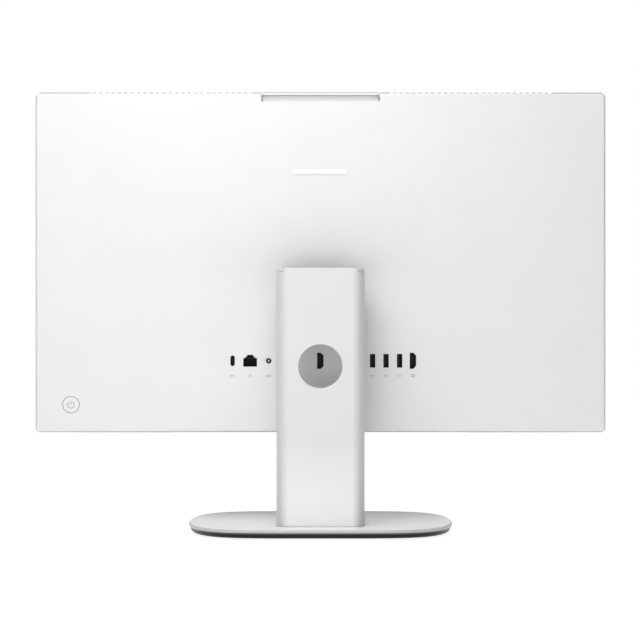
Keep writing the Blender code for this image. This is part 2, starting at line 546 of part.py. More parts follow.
def bent_pipe(name, path, radius, look, corner=10.0):
    """Round pipe swept along a path of straight runs in X and Z with rounded bends."""
    curve = bpy.data.curves.new(name, "CURVE")
    curve.dimensions, curve.bevel_depth, curve.bevel_resolution = "3D", radius * MM, 2
    curve.use_fill_caps, curve.resolution_u = True, 1
    points = [Vector(path[0])]
    for before, bend, after in zip(path, path[1:], path[2:]):
        before, bend, after = Vector(before), Vector(bend), Vector(after)
        start = bend + (before - bend).normalized() * corner
        end = bend + (after - bend).normalized() * corner
        points += [start.lerp(bend, t).lerp(bend.lerp(end, t), t) for t in (0.0, 0.25, 0.5, 0.75, 1.0)]
    points.append(Vector(path[-1]))
    spline = curve.splines.new("POLY")
    spline.points.add(len(points) - 1)
    for slot, point in zip(spline.points, points):
        slot.co = (*(point * MM), 1.0)
    obj = bpy.data.objects.new(name, curve)
    bpy.context.scene.collection.objects.link(obj)
    mesh = bpy.data.meshes.new_from_object(obj.evaluated_get(bpy.context.evaluated_depsgraph_get()))
    bpy.data.objects.remove(obj, do_unlink=True)
    bm = bmesh.new()
    bm.from_mesh(mesh)
    bmesh.ops.remove_doubles(bm, verts=bm.verts[:], dist=1e-6)
    bmesh.ops.scale(bm, vec=Vector((1 / MM, 1 / MM, 1 / MM)), verts=bm.verts[:])
    bpy.data.meshes.remove(mesh)
    return solid(name, bm, look, 60)


def fan():
    half, top = FAN_SIZE / 2, FAN_Z + FAN_SIZE / 2
    front, back = FAN_FRONT + FAN_WALL, FAN_BACK - FAN_WALL
    housing = bevelled(box(FAN_X - half, FAN_X + half, FAN_FRONT, FAN_BACK, FAN_Z - half, top), 1.5, 2)
    housing = solid("fan_housing", housing, ((0.05, 0.05, 0.055), 0.5), 35)
    chamber = turned([(FAN_R + 2.0, front), (FAN_R + 2.0, back)], "Y", (FAN_X, 0, FAN_Z), 40)
    combine(housing, solid("cut_fan_chamber", chamber))
    outlet = box(FAN_X - FAN_R, FAN_X + FAN_R, front, back, FAN_Z + 20, top + 5)
    combine(housing, solid("cut_fan_outlet", outlet))
    inlet = turned([(FAN_INLET_R, FAN_BACK - 5), (FAN_INLET_R, FAN_BACK + 5)], "Y", (FAN_X, 0, FAN_Z))
    combine(housing, solid("cut_fan_inlet", inlet))

    # Each blade trails back from the hub: (radius, angle behind its root)
    blade = ((HUB_R, 0.0), (BLADE_MID_R, 0.10), (FAN_R, 0.30), (FAN_R, 0.345), (BLADE_MID_R, 0.16), (HUB_R, 0.10))
    outline = []
    for i in range(BLADES):
        turn = 2 * math.pi * i / BLADES
        outline += [(radius * math.cos(turn + lag), radius * math.sin(turn + lag)) for radius, lag in blade]
    rotor = loft([at_y(outline, FAN_FRONT + 3.5), at_y(outline, FAN_BACK - 3.5)])
    rotor = solid("fan_rotor", rotor, ((0.03, 0.03, 0.03), 0.4))
    rotor.location = Vector((FAN_X, 0, FAN_Z)) * MM


def fins_and_pipe():
    top = FAN_Z + FAN_SIZE / 2
    left, right = FAN_X - FAN_SIZE / 2, FAN_X + FAN_SIZE / 2
    comb, tip = [(left, FAN_FRONT)], STACK_BACK - 1.5
    for i in range(int(FAN_SIZE // STACK_PITCH)):
        x = left + STACK_PITCH * (i + 0.5)
        end = x + STACK_PITCH - STACK_FIN
        comb += [(x, FAN_FRONT), (x, tip), (end, tip), (end, FAN_FRONT)]
    comb += [(right, FAN_FRONT), (right, STACK_BACK), (left, STACK_BACK)]
    stack = loft([at_z(comb, top + STACK_LOW), at_z(comb, top + STACK_HIGH)])
    solid("fin_stack", stack, ((0.62, 0.63, 0.65), 0.35, 1.0))
    low, high = CPU_Z + SINK_HIGH - SINK_SHELF / 2, top + (STACK_LOW + STACK_HIGH) / 2
    path = [(CPU_X - 28, PIPE_Y, low), (PIPE_TURN_X, PIPE_Y, low), (PIPE_TURN_X, PIPE_Y, high)]
    path.append((PIPE_END_X, PIPE_Y, high))
    bent_pipe("heat_pipe", path, PIPE_R, (COPPER, 0.3, 1.0))


def speaker(side, label):
    a, b = sorted((side * SPEAKER_IN, side * SPEAKER_OUT))
    cabinet = bevelled(box(a, b, SPEAKER_FRONT, SPEAKER_BACK, SPEAKER_LOW, SPEAKER_HIGH), 2.0, 2)
    cabinet = solid(f"speaker_{label}", cabinet, ((0.04, 0.04, 0.045), 0.6), 35)
    middle = ((a + b) / 2, (SPEAKER_FRONT + SPEAKER_BACK) / 2, SPEAKER_LOW)
    cone = turned([(3.0, 4.0), (7.5, -1.0)], "Z", middle, 24)
    combine(cabinet, solid(f"cut_cone_{label}", cone))


def speaker_grille(side, label):
    a, b = sorted((side * GRILLE_IN, side * GRILLE_OUT))
    front, back = GRILLE_Y - GRILLE_DEPTH / 2, GRILLE_Y + GRILLE_DEPTH / 2
    low, high = COVER_BOTTOM - GRILLE_PROUD, COVER_BOTTOM + COVER_WALL
    grille = bevelled(box(a, b, front, back, low, high), 0.5, 1)
    grille = solid(f"speaker_grille_{label}", grille, ((0.78, 0.79, 0.8), 0.4), 35)
    slots, pitch = bmesh.new(), (b - a) / GRILLE_SLOTS
    for i in range(GRILLE_SLOTS):
        x = a + pitch * (i + 0.5)
        box(x - GRILLE_SLOT / 2, x + GRILLE_SLOT / 2, front + 2, back - 2, low - 3, high + 3, slots)
    combine(grille, solid(f"cut_grille_{label}", slots))


# ---------------------------------------------------------------- connectors
def port_row():
    """(name, kind, X) of each connector that is cut through the cover in its own outline."""
    row = [("usb_c_port", "usb_c", USB_C_X), ("ethernet_port", "ethernet", ETHERNET_X)]
    row += [("hdmi_out_port", "hdmi", HDMI_OUT_X), ("hdmi_in_port", "hdmi", HDMI_IN_X)]
    return row + [(f"usb_a_port_{number}", "usb_a", x) for number, x in enumerate(USB_A_X, 1)]


def mouth(kind, x, grow=0.0):
    """Outline of a connector's opening in X and Z, larger by grow all round."""
    if kind == "usb_c":
        half, tall = 2.1 + grow, 5.05 + grow
        return rounded(x - half, x + half, PORT_Z - tall, PORT_Z + tall, half - 0.05, half - 0.05, 0, 6)
    if kind == "usb_a":
        half, tall = 2.55 + grow, 6.5 + grow
        return rounded(x - half, x + half, PORT_Z - tall, PORT_Z + tall, 0.3, 0.3, 0, 1)
    if kind == "hdmi":
        a, b, low, high, taper = x + 3.05 + grow, x - 3.05 - grow, PORT_Z - 7.7 - grow, PORT_Z + 7.7 + grow, 2.7
        return [(a, low), (a, high), (b + taper, high), (b, high - taper), (b, low + taper), (b + taper, low)]
    low = PORT_Z - 5.6
    right = [(6.5, 0.0 - 2 * grow), (6.5, 8.3), (3.4, 8.3), (3.4, 9.9), (2.4, 9.9), (2.4, 11.2)]
    right = [(px + grow, low + pz + grow) for px, pz in right]
    return [(x + px, pz) for px, pz in right] + [(x - px, pz) for px, pz in reversed(right)]


def socket(name, kind, x, shell, look, deep, tongue=None):
    """Connector: a shell behind the cover, a pocket open to the rear, and a tongue in the pocket."""
    port = solid(name, loft([at_y(shell, BOARD_BACK + GAP), at_y(shell, PORT_FACE)]), look)
    pocket = mouth(kind, x, PLAY)
    combine(port, solid("cut_" + name, loft([at_y(pocket, PORT_FACE - deep), at_y(pocket, PORT_FACE + 5)])))
    if tongue:
        x0, x1, half = tongue
        blade = box(x + x0, x + x1, PORT_FACE - deep - 0.8, PORT_FACE - 0.6, PORT_Z - half, PORT_Z + half)
        combine(port, solid("add_" + name, blade), "UNION")


def connectors():
    metal, black = (STEEL, 0.3, 1.0), ((0.05, 0.05, 0.055), 0.5)
    tongues = {"usb_c": (-0.35, 0.35, 3.3), "hdmi": (-0.3, 0.9, 5.6), "usb_a": (0.2, 1.9, 5.6)}
    for name, kind, x in port_row():
        if kind == "ethernet":
            shell = rounded(x - 7.6, x + 7.6, PORT_Z - 6.6, PORT_Z + 6.6, 0.5, 0.5, 0, 2)
            socket(name, kind, x, shell, black, 11.0)
        else:
            deep = 7.0 if kind == "usb_c" else 9.5
            socket(name, kind, x, mouth(kind, x, SHELL), metal, deep, tongues[kind])

    back, face, deep = BOARD_BACK + GAP, PORT_FACE, PORT_FACE - 9.0
    barrel = [(POWER_BARREL_R, back), (POWER_BARREL_R, face), (POWER_R + PLAY, face), (POWER_R + PLAY, deep)]
    barrel += [(POWER_PIN_R, deep), (POWER_PIN_R, face - 0.6)]
    solid("power_inlet", turned(barrel, "Y", (POWER_X, 0, PORT_Z), 24), black, 40)


def power_button():
    y = HEAD_REAR
    cap = [(9.2, y - 4.6), (9.2, y - 2.7), (BUTTON_R, y - 2.7), (BUTTON_R, y - 0.1), (BUTTON_R - 0.5, y + 0.3)]
    cap = [(2.0, y - 6.2), (2.0, y - 4.6)] + cap
    solid("power_button", turned(cap, "Y", (BUTTON_X, 0, BUTTON_Z), 40), (WHITE, 0.35), 35)
    x, z = BUTTON_X, BUTTON_Z
    made = solid("button_board", box(x - 11, x + 11, -18.2, -17.0, z - 9, z + 9), (BOARD, 0.5))
    switch = box(x - 3, x + 3, -17.5, -15.0, z - 3, z + 3)
    combine(made, solid("add_switch", switch), "UNION")
    combine(made, solid("add_plunger", turned([(1.5, -16.0), (1.5, y - 7.3)], "Y", (x, 0, z), 16)), "UNION")


def camera():
    lip, half = COVER_TOP - CAMERA_LIP, CAMERA_W / 2
    body_x, low = CAMERA_BODY_W / 2, COVER_TOP - CAMERA_DROP
    y0, y1 = CAMERA_FRONT, CAMERA_BACK
    body = bevelled(box(-body_x, body_x, y0, y1, low, lip + 0.6), 0.4, 1)
    housing = solid("camera_housing", body, (WHITE, 0.35), 35)
    plate = rounded(-half, half, HEAD_SPLIT + 1.5, HEAD_REAR - 0.1, 0.6, 1.2, 0, 3)
    soft = rounded(-half, half, HEAD_SPLIT + 1.5, HEAD_REAR - 0.1, 0.6, 1.2, 0.4, 3)
    lid = loft([at_z(plate, lip), at_z(plate, COVER_TOP - 0.4), at_z(soft, COVER_TOP)])
    combine(housing, solid("add_camera_lip", lid), "UNION")
    hollow = box(-body_x + 3, body_x - 3, y0 + CAMERA_WALL, y1 - CAMERA_WALL, low - 5, lip - 1.5)
    combine(housing, solid("cut_camera_hollow", hollow))
    eye = [(LENS_R + 0.2, y0 - 5), (LENS_R + 0.2, y0 + 5)]
    combine(housing, solid("cut_camera_eye", turned(eye, "Y", (0, 0, LENS_Z), 24)))
    middle = (y0 + y1) / 2
    ribs = bmesh.new()
    for side in (-1, 1):
        a, b = sorted((side * (body_x - 0.5), side * (body_x + RIB)))
        box(a, b, middle - 0.8, middle + 0.8, low + 1, low + 13, ribs)
    combine(housing, solid("add_camera_ribs", ribs), "UNION")

    lens = [(LENS_R, y0 + 3.0), (LENS_R, y0 + 0.2), (LENS_R - 0.6, y0 - 0.2), (LENS_R - 1.6, y0 + 0.6)]
    solid("camera_lens", turned(lens, "Y", (0, 0, LENS_Z), 24), ((0.01, 0.01, 0.015), 0.05), 40)
    chip = box(-30, 30, y0 + 3.4, y0 + 4.6, low + 5, lip - 3)
    solid("camera_board", chip, (BOARD, 0.5))

    for side, label in ((-1, "right"), (1, "left")):
        a, b = sorted((side * (body_x + 0.4), side * (body_x + 0.4 + RAIL_W)))
        rail = solid(f"camera_rail_{label}", box(a, b, y0 - 0.8, y1 + 0.4, low - 6, low - 6 + RAIL_H),
                     ((0.1, 0.1, 0.11), 0.6))
        a, b = sorted((side * body_x, side * (body_x + RIB + 0.5)))
        groove = box(a, b, middle - 1.1, middle + 1.1, low + 0.5, low + RAIL_H)
        combine(rail, solid(f"cut_rail_{label}", groove))


def trim():
    """Plain pill-shaped trim set on the rear cover."""
    low = HEAD_REAR + GAP
    pill = rounded(-TRIM_HALF, TRIM_HALF, TRIM_LOW, TRIM_HIGH, 2.4, 2.4, 0, 6)
    solid("trim_bar", loft([at_y(pill, low), at_y(pill, low + TRIM_THICK)]), ((0.9, 0.9, 0.91), 0.15), 35)


def main():
    clear_scene()
    base()
    column()
    hinge()
    rear_cover()
    front_frames()
    screen()
    board()
    fan()
    fins_and_pipe()
    for side, label in ((-1, "right"), (1, "left")):
        speaker(side, label)
        speaker_grille(side, label)
    connectors()
    power_button()
    camera()
    trim()


main()
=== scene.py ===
"""Looks of an all-in-one desktop computer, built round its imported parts. Lengths are in millimetres."""

import json
import math

import bmesh
import bpy
from mathutils import Matrix, Vector

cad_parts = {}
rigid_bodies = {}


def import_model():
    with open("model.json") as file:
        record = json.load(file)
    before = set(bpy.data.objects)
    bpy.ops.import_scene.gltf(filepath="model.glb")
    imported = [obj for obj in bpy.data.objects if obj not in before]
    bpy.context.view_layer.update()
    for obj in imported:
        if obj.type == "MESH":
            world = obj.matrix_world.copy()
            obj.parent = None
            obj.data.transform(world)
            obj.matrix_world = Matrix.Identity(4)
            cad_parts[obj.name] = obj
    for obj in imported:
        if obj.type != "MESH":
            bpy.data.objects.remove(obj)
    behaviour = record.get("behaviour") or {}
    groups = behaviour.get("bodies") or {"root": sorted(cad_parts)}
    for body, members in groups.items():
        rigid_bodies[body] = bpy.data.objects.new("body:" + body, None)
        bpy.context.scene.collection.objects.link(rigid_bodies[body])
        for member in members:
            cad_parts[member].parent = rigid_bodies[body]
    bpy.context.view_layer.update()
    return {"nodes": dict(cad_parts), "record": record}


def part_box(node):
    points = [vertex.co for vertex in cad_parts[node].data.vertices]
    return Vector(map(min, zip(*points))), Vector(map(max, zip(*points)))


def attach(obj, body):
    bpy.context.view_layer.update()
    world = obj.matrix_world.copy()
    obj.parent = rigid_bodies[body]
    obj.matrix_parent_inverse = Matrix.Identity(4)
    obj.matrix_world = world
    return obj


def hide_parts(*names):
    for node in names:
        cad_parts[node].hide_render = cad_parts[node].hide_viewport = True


MM = 0.001

# Sizes shared with the part, in millimetres
COVER_WALL, COVER_FILLET, TOP_RADIUS, BOTTOM_RADIUS = 2.4, 2.5, 5.0, 3.4
VENT_PITCH, VENT_WIDTH, VENT_COUNT, VENT_FIRST, VENT_DEPTH = 6.0, 4.0, 26, 68.0, 15.0
CAMERA_GAP, CAMERA_LIP, CAMERA_LID_OVER = 0.8, 2.2, 1.3
COVE_HEIGHT, COVE_DEPTH = 6.5, 5.0
PORT_Z, PORT_SHELL = 160.6, 0.8
POWER_R, POWER_RECESS_R, POWER_RECESS, POWER_DEEP = 2.6, 4.8, 0.4, 9.0
BUTTON_R, BUTTON_GAP = 7.7, 0.45
COLUMN_HALF, COLUMN_CUT, COLUMN_WALL, CAP_HEIGHT = 40.8, 6.4, 2.2, 3.8
HOLE_Z, HOLE_R, SLEEVE_WALL = 156.8, 20.1, 2.0
BASE_N, BASE_M, SCREW_BORE = 5.2, 2.3, 4.2

# Sizes that only the finished pieces have, in millimetres
BEYOND, PLAY = 5.0, 0.3  # how far a cutter reaches past its work, and the gap round a part let into another
COVER_CHAMFER, COVER_STEPS, COVE_WALL, COVE_STEPS, VENT_BACK = 0.2, 10, 2.0, 20, 0.9
# The darker rim on the cover's rounded rear edge is painted shade.
RIM_TURN = 44  # degrees of the cover's rounded rear edge that are darker
PIN_R, MARK_DROP = 1.05, 14.3
COLUMN_ROUND, COLUMN_STEPS, COLUMN_SEAM, CAP_INSET = 11.0, 14, 0.12, 0.4
HOLE_FLARE, FLARE_STEPS = 1.0, 8
BASE_DISH, SKIRT_START, SKIRT_REACH, SKIRT_STEPS = 0.8, 1.3, 3.4, 12

# Openings of the connectors, which stand on end: half widths and half heights
USB_C_HALF, USB_A_HALF, HDMI_HALF, HDMI_TAPER = (2.1, 5.05), (2.55, 6.5), (3.05, 7.7), 2.7
ETHERNET_LOW, POCKET_PLAY = 5.6, 0.1
SOCKET_DEEP = {"usb_c": 7.0, "usb_a": 9.5, "hdmi": 9.5, "ethernet": 11.0}

# Tongue in each kind of socket: its two faces from the middle, its half height, and its contacts
TONGUES = {"usb_c": (-0.35, 0.35, 3.3), "hdmi": (-0.3, 0.9, 5.6), "usb_a": (0.2, 1.9, 5.6)}
CONTACTS = {"usb_c": (9, 0.2), "hdmi": (9, 0.2), "usb_a": (4, 0.5)}

for leftover in list(bpy.data.objects):
    bpy.data.objects.remove(leftover, do_unlink=True)

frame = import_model()
nodes = frame["nodes"]
BODY_OF = {node: body for body, held in frame["record"]["behaviour"]["bodies"].items() for node in held}
PORT_KINDS = {
    "usb_c_port": "usb_c", "ethernet_port": "ethernet", "hdmi_out_port": "hdmi", "hdmi_in_port": "hdmi",
    "usb_a_port_1": "usb_a", "usb_a_port_2": "usb_a", "usb_a_port_3": "usb_a",
}


def span(node):
    """Lowest and highest corner of a CAD node, in millimetres."""
    low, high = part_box(node)
    return low / MM, high / MM


# ---------------------------------------------------------------- mesh helpers
def loft(rows, bm=None, closed=False):
    """Skin through rows of points. Its ends are capped, or the last row joins the first."""
    bm = bm or bmesh.new()
    rings = [[bm.verts.new(point) for point in row] for row in rows]
    count = len(rings[0])
    pairs = list(zip(rings, rings[1:])) + ([(rings[-1], rings[0])] if closed else [])
    for low, high in pairs:
        for i in range(count):
            j = (i + 1) % count
            bm.faces.new((low[i], low[j], high[j], high[i]))
    if not closed:
        bm.faces.new(rings[0])
        bm.faces.new(rings[-1])
    return bm


def box(x0, x1, y0, y1, z0, z1, bm=None):
    bm = bm or bmesh.new()
    centre = Vector(((x0 + x1) / 2, (y0 + y1) / 2, (z0 + z1) / 2))
    size = Matrix.Diagonal((x1 - x0, y1 - y0, z1 - z0, 1.0))
    bmesh.ops.create_cube(bm, size=1.0, matrix=Matrix.Translation(centre) @ size)
    return bm


def rounded(x0, x1, z0, z1, low, high, inset=0.0, steps=8):
    """Rectangle outline, its two lower corners rounded by low and its two upper by high."""
    x0, x1, z0, z1 = x0 + inset, x1 - inset, z0 + inset, z1 - inset
    low, high = max(low - inset, 0.3), max(high - inset, 0.3)
    corners = (
        (x1, z0, low, -90, -1, 1), (x1, z1, high, 0, -1, -1),
        (x0, z1, high, 90, 1, -1), (x0, z0, low, 180, 1, 1),
    )
    points = []
    for x, z, r, start, sx, sz in corners:
        for i in range(steps + 1):
            turn = math.radians(start + 90 * i / steps)
            points.append((x + sx * r + r * math.cos(turn), z + sz * r + r * math.sin(turn)))
    return points


def at_y(outline, y):
    return [(x, y, z) for x, z in outline]


def at_z(outline, z):
    return [(x, y, z) for x, y in outline]


def at_x(outline, x):
    return [(x, y, z) for y, z in outline]


def turned(profile, axis, centre, count=64, bm=None, closed=False):
    """Solid of revolution from (radius, distance) pairs."""
    rows = []
    for radius, along in profile:
        row = []
        for i in range(count):
            turn = 2 * math.pi * (i + 0.5) / count
            a, b = radius * math.cos(turn), radius * math.sin(turn)
            offset = {"X": (along, a, b), "Y": (b, along, a), "Z": (a, b, along)}[axis]
            row.append(tuple(c + o for c, o in zip(centre, offset)))
        rows.append(row)
    return loft(rows, bm, closed)


def mesh_object(name, bm, separate=False):
    """Object from a mesh in millimetres, its faces outward. Separate parts have no common inside to test."""
    bmesh.ops.recalc_face_normals(bm, faces=bm.faces[:])
    if not separate and bm.calc_volume(signed=True) < 0:
        bmesh.ops.reverse_faces(bm, faces=bm.faces[:])
    bmesh.ops.scale(bm, vec=Vector((MM, MM, MM)), verts=bm.verts[:])
    mesh = bpy.data.meshes.new(name)
    bm.to_mesh(mesh)
    bm.free()
    obj = bpy.data.objects.new(name, mesh)
    bpy.context.scene.collection.objects.link(obj)
    return obj


def bake(obj):
    """Apply every modifier."""
    bpy.context.view_layer.update()
    graph = bpy.context.evaluated_depsgraph_get()
    mesh = bpy.data.meshes.new_from_object(obj.evaluated_get(graph))
    obj.modifiers.clear()
    obj.data = mesh
    mesh.name = obj.name


def combine(obj, helper_bm, operation="DIFFERENCE"):
    """Cut a helper's shape out of an object, or join or intersect the two."""
    helper = mesh_object("helper", helper_bm)
    modifier = obj.modifiers.new("combine", "BOOLEAN")
    modifier.operation, modifier.solver, modifier.object = operation, "EXACT", helper
    bake(obj)
    bpy.data.objects.remove(helper, do_unlink=True)
    return obj


def soften(obj, width, segments=2, angle=35):
    """Round off the sharp edges, and shade the rest smooth with flat faces kept flat."""
    if width:
        bevel = obj.modifiers.new("soften", "BEVEL")
        bevel.width, bevel.segments, bevel.limit_method = width * MM, segments, "ANGLE"
        bevel.angle_limit = math.radians(angle)
        bevel.use_clamp_overlap = True
        bake(obj)
    obj.data.shade_smooth()
    obj.data.set_sharp_from_angle(angle=math.radians(max(angle, 40)))
    weights = obj.modifiers.new("flat_faces", "WEIGHTED_NORMAL")
    weights.keep_sharp = True
    bake(obj)
    return obj


def piece(obj, body, look, stands_for=()):
    """Paint a finished piece, put it on its body and let it stand for the CAD nodes it refines.

    Without a look the piece keeps the materials that it has.
    """
    if look:
        obj.data.materials.clear()
        obj.data.materials.append(look)
    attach(obj, body)
    if stands_for:
        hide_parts(*stands_for)
    return obj


# ---------------------------------------------------------------- materials
def look(name, colour, roughness, metallic=0.0, vary=0.03, grain=2500.0, bump=0.04, rough_vary=0.06,
         stretch=None, **more):
    """Moulded or finished surface: a fine grain in bump, with slow drifts in colour and roughness."""
    made = bpy.data.materials.new(name)
    made.use_nodes = True
    tree = made.node_tree
    shader = tree.nodes["Principled BSDF"]
    new, link = tree.nodes.new, tree.links.new
    place = new("ShaderNodeTexCoord")
    source = place.outputs["Object"]
    if stretch:
        mapping = new("ShaderNodeMapping")
        mapping.inputs["Scale"].default_value = stretch
        link(source, mapping.inputs["Vector"])
        source = mapping.outputs["Vector"]
    drift = new("ShaderNodeTexNoise")
    drift.inputs["Scale"].default_value = 18.0
    drift.inputs["Detail"].default_value = 4.0
    link(source, drift.inputs["Vector"])
    fine = new("ShaderNodeTexNoise")
    fine.inputs["Scale"].default_value = grain
    fine.inputs["Detail"].default_value = 2.0
    link(source, fine.inputs["Vector"])
    ramp = new("ShaderNodeValToRGB")
    low = tuple(max(c * (1 - vary), 0.0) for c in colour)
    high = tuple(min(c * (1 + vary), 1.0) for c in colour)
    ramp.color_ramp.elements[0].position, ramp.color_ramp.elements[1].position = 0.3, 0.7
    ramp.color_ramp.elements[0].color = (*low, 1.0)
    ramp.color_ramp.elements[1].color = (*high, 1.0)
    link(drift.outputs["Fac"], ramp.inputs["Fac"])
    link(ramp.outputs["Color"], shader.inputs["Base Color"])
    band = new("ShaderNodeMapRange")
    band.inputs["From Min"].default_value, band.inputs["From Max"].default_value = 0.3, 0.7
    band.inputs["To Min"].default_value = max(roughness - rough_vary, 0.02)
    band.inputs["To Max"].default_value = min(roughness + rough_vary, 1.0)
    link(fine.outputs["Fac"], band.inputs["Value"])
    link(band.outputs["Result"], shader.inputs["Roughness"])
    relief = new("ShaderNodeBump")
    relief.inputs["Strength"].default_value = bump
    relief.inputs["Distance"].default_value = 0.0002
    link(fine.outputs["Fac"], relief.inputs["Height"])
    link(relief.outputs["Normal"], shader.inputs["Normal"])
    shader.inputs["Metallic"].default_value = metallic
    for key, value in more.items():
        shader.inputs[key.replace("_", " ")].default_value = value
    return made


def fade(made, axis, near, far, colour):
    """Let a look turn to another colour along an axis, from its own at near to that colour at far.

    Places are in millimetres, and along X they count from the object's middle plane to both sides.
    """
    tree = made.node_tree
    new, link = tree.nodes.new, tree.links.new
    shader = tree.nodes["Principled BSDF"]
    place = next(n for n in tree.nodes if n.type == "TEX_COORD")
    before = shader.inputs["Base Color"].links[0].from_socket
    split, aside, band = new("ShaderNodeSeparateXYZ"), new("ShaderNodeMath"), new("ShaderNodeMapRange")
    link(place.outputs["Object"], split.inputs["Vector"])
    aside.operation = "ABSOLUTE"
    link(split.outputs[axis], aside.inputs[0])
    link(aside.outputs["Value"], band.inputs["Value"])
    band.inputs["From Min"].default_value, band.inputs["From Max"].default_value = near * MM, far * MM
    mix = new("ShaderNodeMix")
    mix.data_type = "RGBA"
    first, second = [socket for socket in mix.inputs if socket.type == "RGBA"]
    second.default_value = (*colour, 1.0)
    link(band.outputs["Result"], mix.inputs["Factor"])
    link(before, first)
    link(next(socket for socket in mix.outputs if socket.type == "RGBA"), shader.inputs["Base Color"])


def circuit_look(name, mask):
    """Lacquered board: solder mask with copper tracks under it and rows of small pads."""
    made = look(name, mask, 0.35, vary=0.15, grain=900, bump=0.1)
    tree = made.node_tree
    shader = tree.nodes["Principled BSDF"]
    new, link = tree.nodes.new, tree.links.new
    place = next(n for n in tree.nodes if n.type == "TEX_COORD")
    tracks = new("ShaderNodeTexBrick")
    tracks.inputs["Scale"].default_value = 60.0
    tracks.inputs["Mortar Size"].default_value = 0.03
    tracks.inputs["Color1"].default_value = (*mask, 1.0)
    tracks.inputs["Color2"].default_value = (*(c * 0.8 for c in mask), 1.0)
    tracks.inputs["Mortar"].default_value = (*(min(c * 2.2 + 0.03, 1) for c in mask), 1.0)
    turn = new("ShaderNodeMapping")
    turn.inputs["Rotation"].default_value = (math.pi / 2, 0.0, 0.0)
    link(place.outputs["Object"], turn.inputs["Vector"])
    link(turn.outputs["Vector"], tracks.inputs["Vector"])
    link(tracks.outputs["Color"], shader.inputs["Base Color"])
    return made


WHITE = (0.79, 0.80, 0.81)
white = look("white_shell", WHITE, 0.42, vary=0.012, grain=2800, bump=0.05)
column_white_painted_shading = look("column_white_painted_shading", (0.71, 0.72, 0.73), 0.36, vary=0.012, grain=2600, bump=0.03)
# Painted light: the column turns lighter towards its foot, standing in for light thrown up from the base and
# floor.
fade(column_white_painted_shading, "Z", 90.0, 5.0, (0.93, 0.935, 0.94))
# Painted shade: the column's rounded corners turn grey, standing in for their shading as they turn away from
# the lamps.
fade(column_white_painted_shading, "X", COLUMN_HALF - COLUMN_ROUND, COLUMN_HALF - 3.4, (0.58, 0.59, 0.60))
white_base = look("white_base", (0.88, 0.885, 0.89), 0.33, vary=0.012, grain=1800, bump=0.03, Coat_Weight=0.2)
# Painted shade: grey on the rounded outer edge of the white base shell, going near black along its lower part
# where it turns under.
base_rim_painted_shade = look("base_rim_painted_shade", (0.52, 0.525, 0.53), 0.4, vary=0.012, grain=1800, bump=0.03)
fade(base_rim_painted_shade, "Z", 7.4, 6.5, (0.2, 0.2, 0.205))
seam_grey = look("seam_grey", (0.50, 0.51, 0.53), 0.45, vary=0.03)
# Painted shade: the cap shows only at the column's rounded corners, and its grey copies the shade there.
cap_painted_shade = look("cap_painted_shade", (0.60, 0.61, 0.62), 0.45, vary=0.03)
ink = look("ink_grey", (0.50, 0.51, 0.53), 0.6, vary=0.05)
skirt_black_painted_light = look("skirt_black_painted_light", (0.01, 0.01, 0.011), 0.38, vary=0.2, grain=1200, bump=0.03,
                   Specular_IOR_Level=0.2)
# Painted light: the skirt's black turns grey along its upper edge, where light falls on it.
fade(skirt_black_painted_light, "Z", 5.0, 6.2, (0.14, 0.14, 0.145))
black = look("black_plastic", (0.022, 0.022, 0.025), 0.45, vary=0.15, bump=0.08)
rubber = look("rubber", (0.02, 0.02, 0.021), 0.82, vary=0.2, grain=1500, bump=0.2)
screen = look("screen_glass", (0.006, 0.006, 0.008), 0.2, vary=0.2, grain=4000, bump=0.01, rough_vary=0.03,
              Specular_IOR_Level=0.35)
panel = look("panel_metal", (0.5, 0.5, 0.52), 0.35, 0.9, vary=0.05, stretch=(1, 1, 12))
steel = look("steel", (0.56, 0.57, 0.58), 0.3, 1.0, vary=0.05, grain=900, stretch=(1, 12, 1))
# Painted shade: the sockets' metal shells are near black, standing in for the shade deep in their pockets.
socket_shell_painted_shade = look("socket_metal_painted_shade", (0.02, 0.02, 0.021), 0.45, 0.6, vary=0.15, grain=1400)
# Black plastic of the ethernet socket and the power inlet, made darker than the other black plastic as
# painted shade for their deep pockets; the inlet's lining is painted shade too.
socket_black_painted_shade = look("socket_black_painted_shade", (0.007, 0.007, 0.008), 0.5, vary=0.15, Specular_IOR_Level=0.2)
dark_steel = look("dark_steel", (0.11, 0.11, 0.12), 0.42, 0.8, vary=0.1, grain=1500, bump=0.1)
aluminium = look("aluminium", (0.66, 0.67, 0.69), 0.32, 1.0, vary=0.04, grain=800, stretch=(1, 1, 20))
copper = look("copper", (0.72, 0.34, 0.2), 0.3, 1.0, vary=0.12, grain=700)
gold = look("gold_contact", (0.62, 0.45, 0.2), 0.35, 1.0, vary=0.05)
# Painted shade: the gold contacts in the sockets are darkened, standing in for the shade in the pockets.
contact_painted_shade = look("socket_contact", (0.20, 0.17, 0.12), 0.4, 1.0, vary=0.05)
# Painted shadow: black walls in the slits at the ends of the cove, standing in for the shadow inside them.
slit_painted_shadow = look("slit_painted_shadow", (0.02, 0.02, 0.021), 0.7, vary=0.2)
washer_bronze = look("washer_bronze", (0.55, 0.42, 0.22), 0.35, 1.0, vary=0.08)
board_green = circuit_look("board_green", (0.01, 0.07, 0.035))
board_black = circuit_look("board_black", (0.012, 0.013, 0.018))
# Painted shade: grey on the rounded rear edges of the cover and of the camera's lid, going near black towards
# the top.
edge_painted_shade = look("edge_painted_shade", (0.26, 0.27, 0.28), 0.6, vary=0.05, Specular_IOR_Level=0.2)
fade(edge_painted_shade, "Z", 408.0, 414.0, (0.07, 0.07, 0.075))
ink_light = look("ink_light", (0.33, 0.34, 0.36), 0.55, vary=0.05)
tongue_black = look("tongue_black", (0.018, 0.018, 0.019), 0.5, vary=0.1, Specular_IOR_Level=0.3)
# Painted highlight: the power inlet's centre pin is a plain bright white, standing in for the light a metal
# pin catches.
pin_painted_highlight = look("pin_painted_highlight", (0.95, 0.95, 0.95), 0.3, vary=0.02, grain=1200, Coat_Weight=0.5)
pearl = look("pearl", (0.93, 0.93, 0.935), 0.14, vary=0.01, grain=1500, bump=0.01, Coat_Weight=0.5)

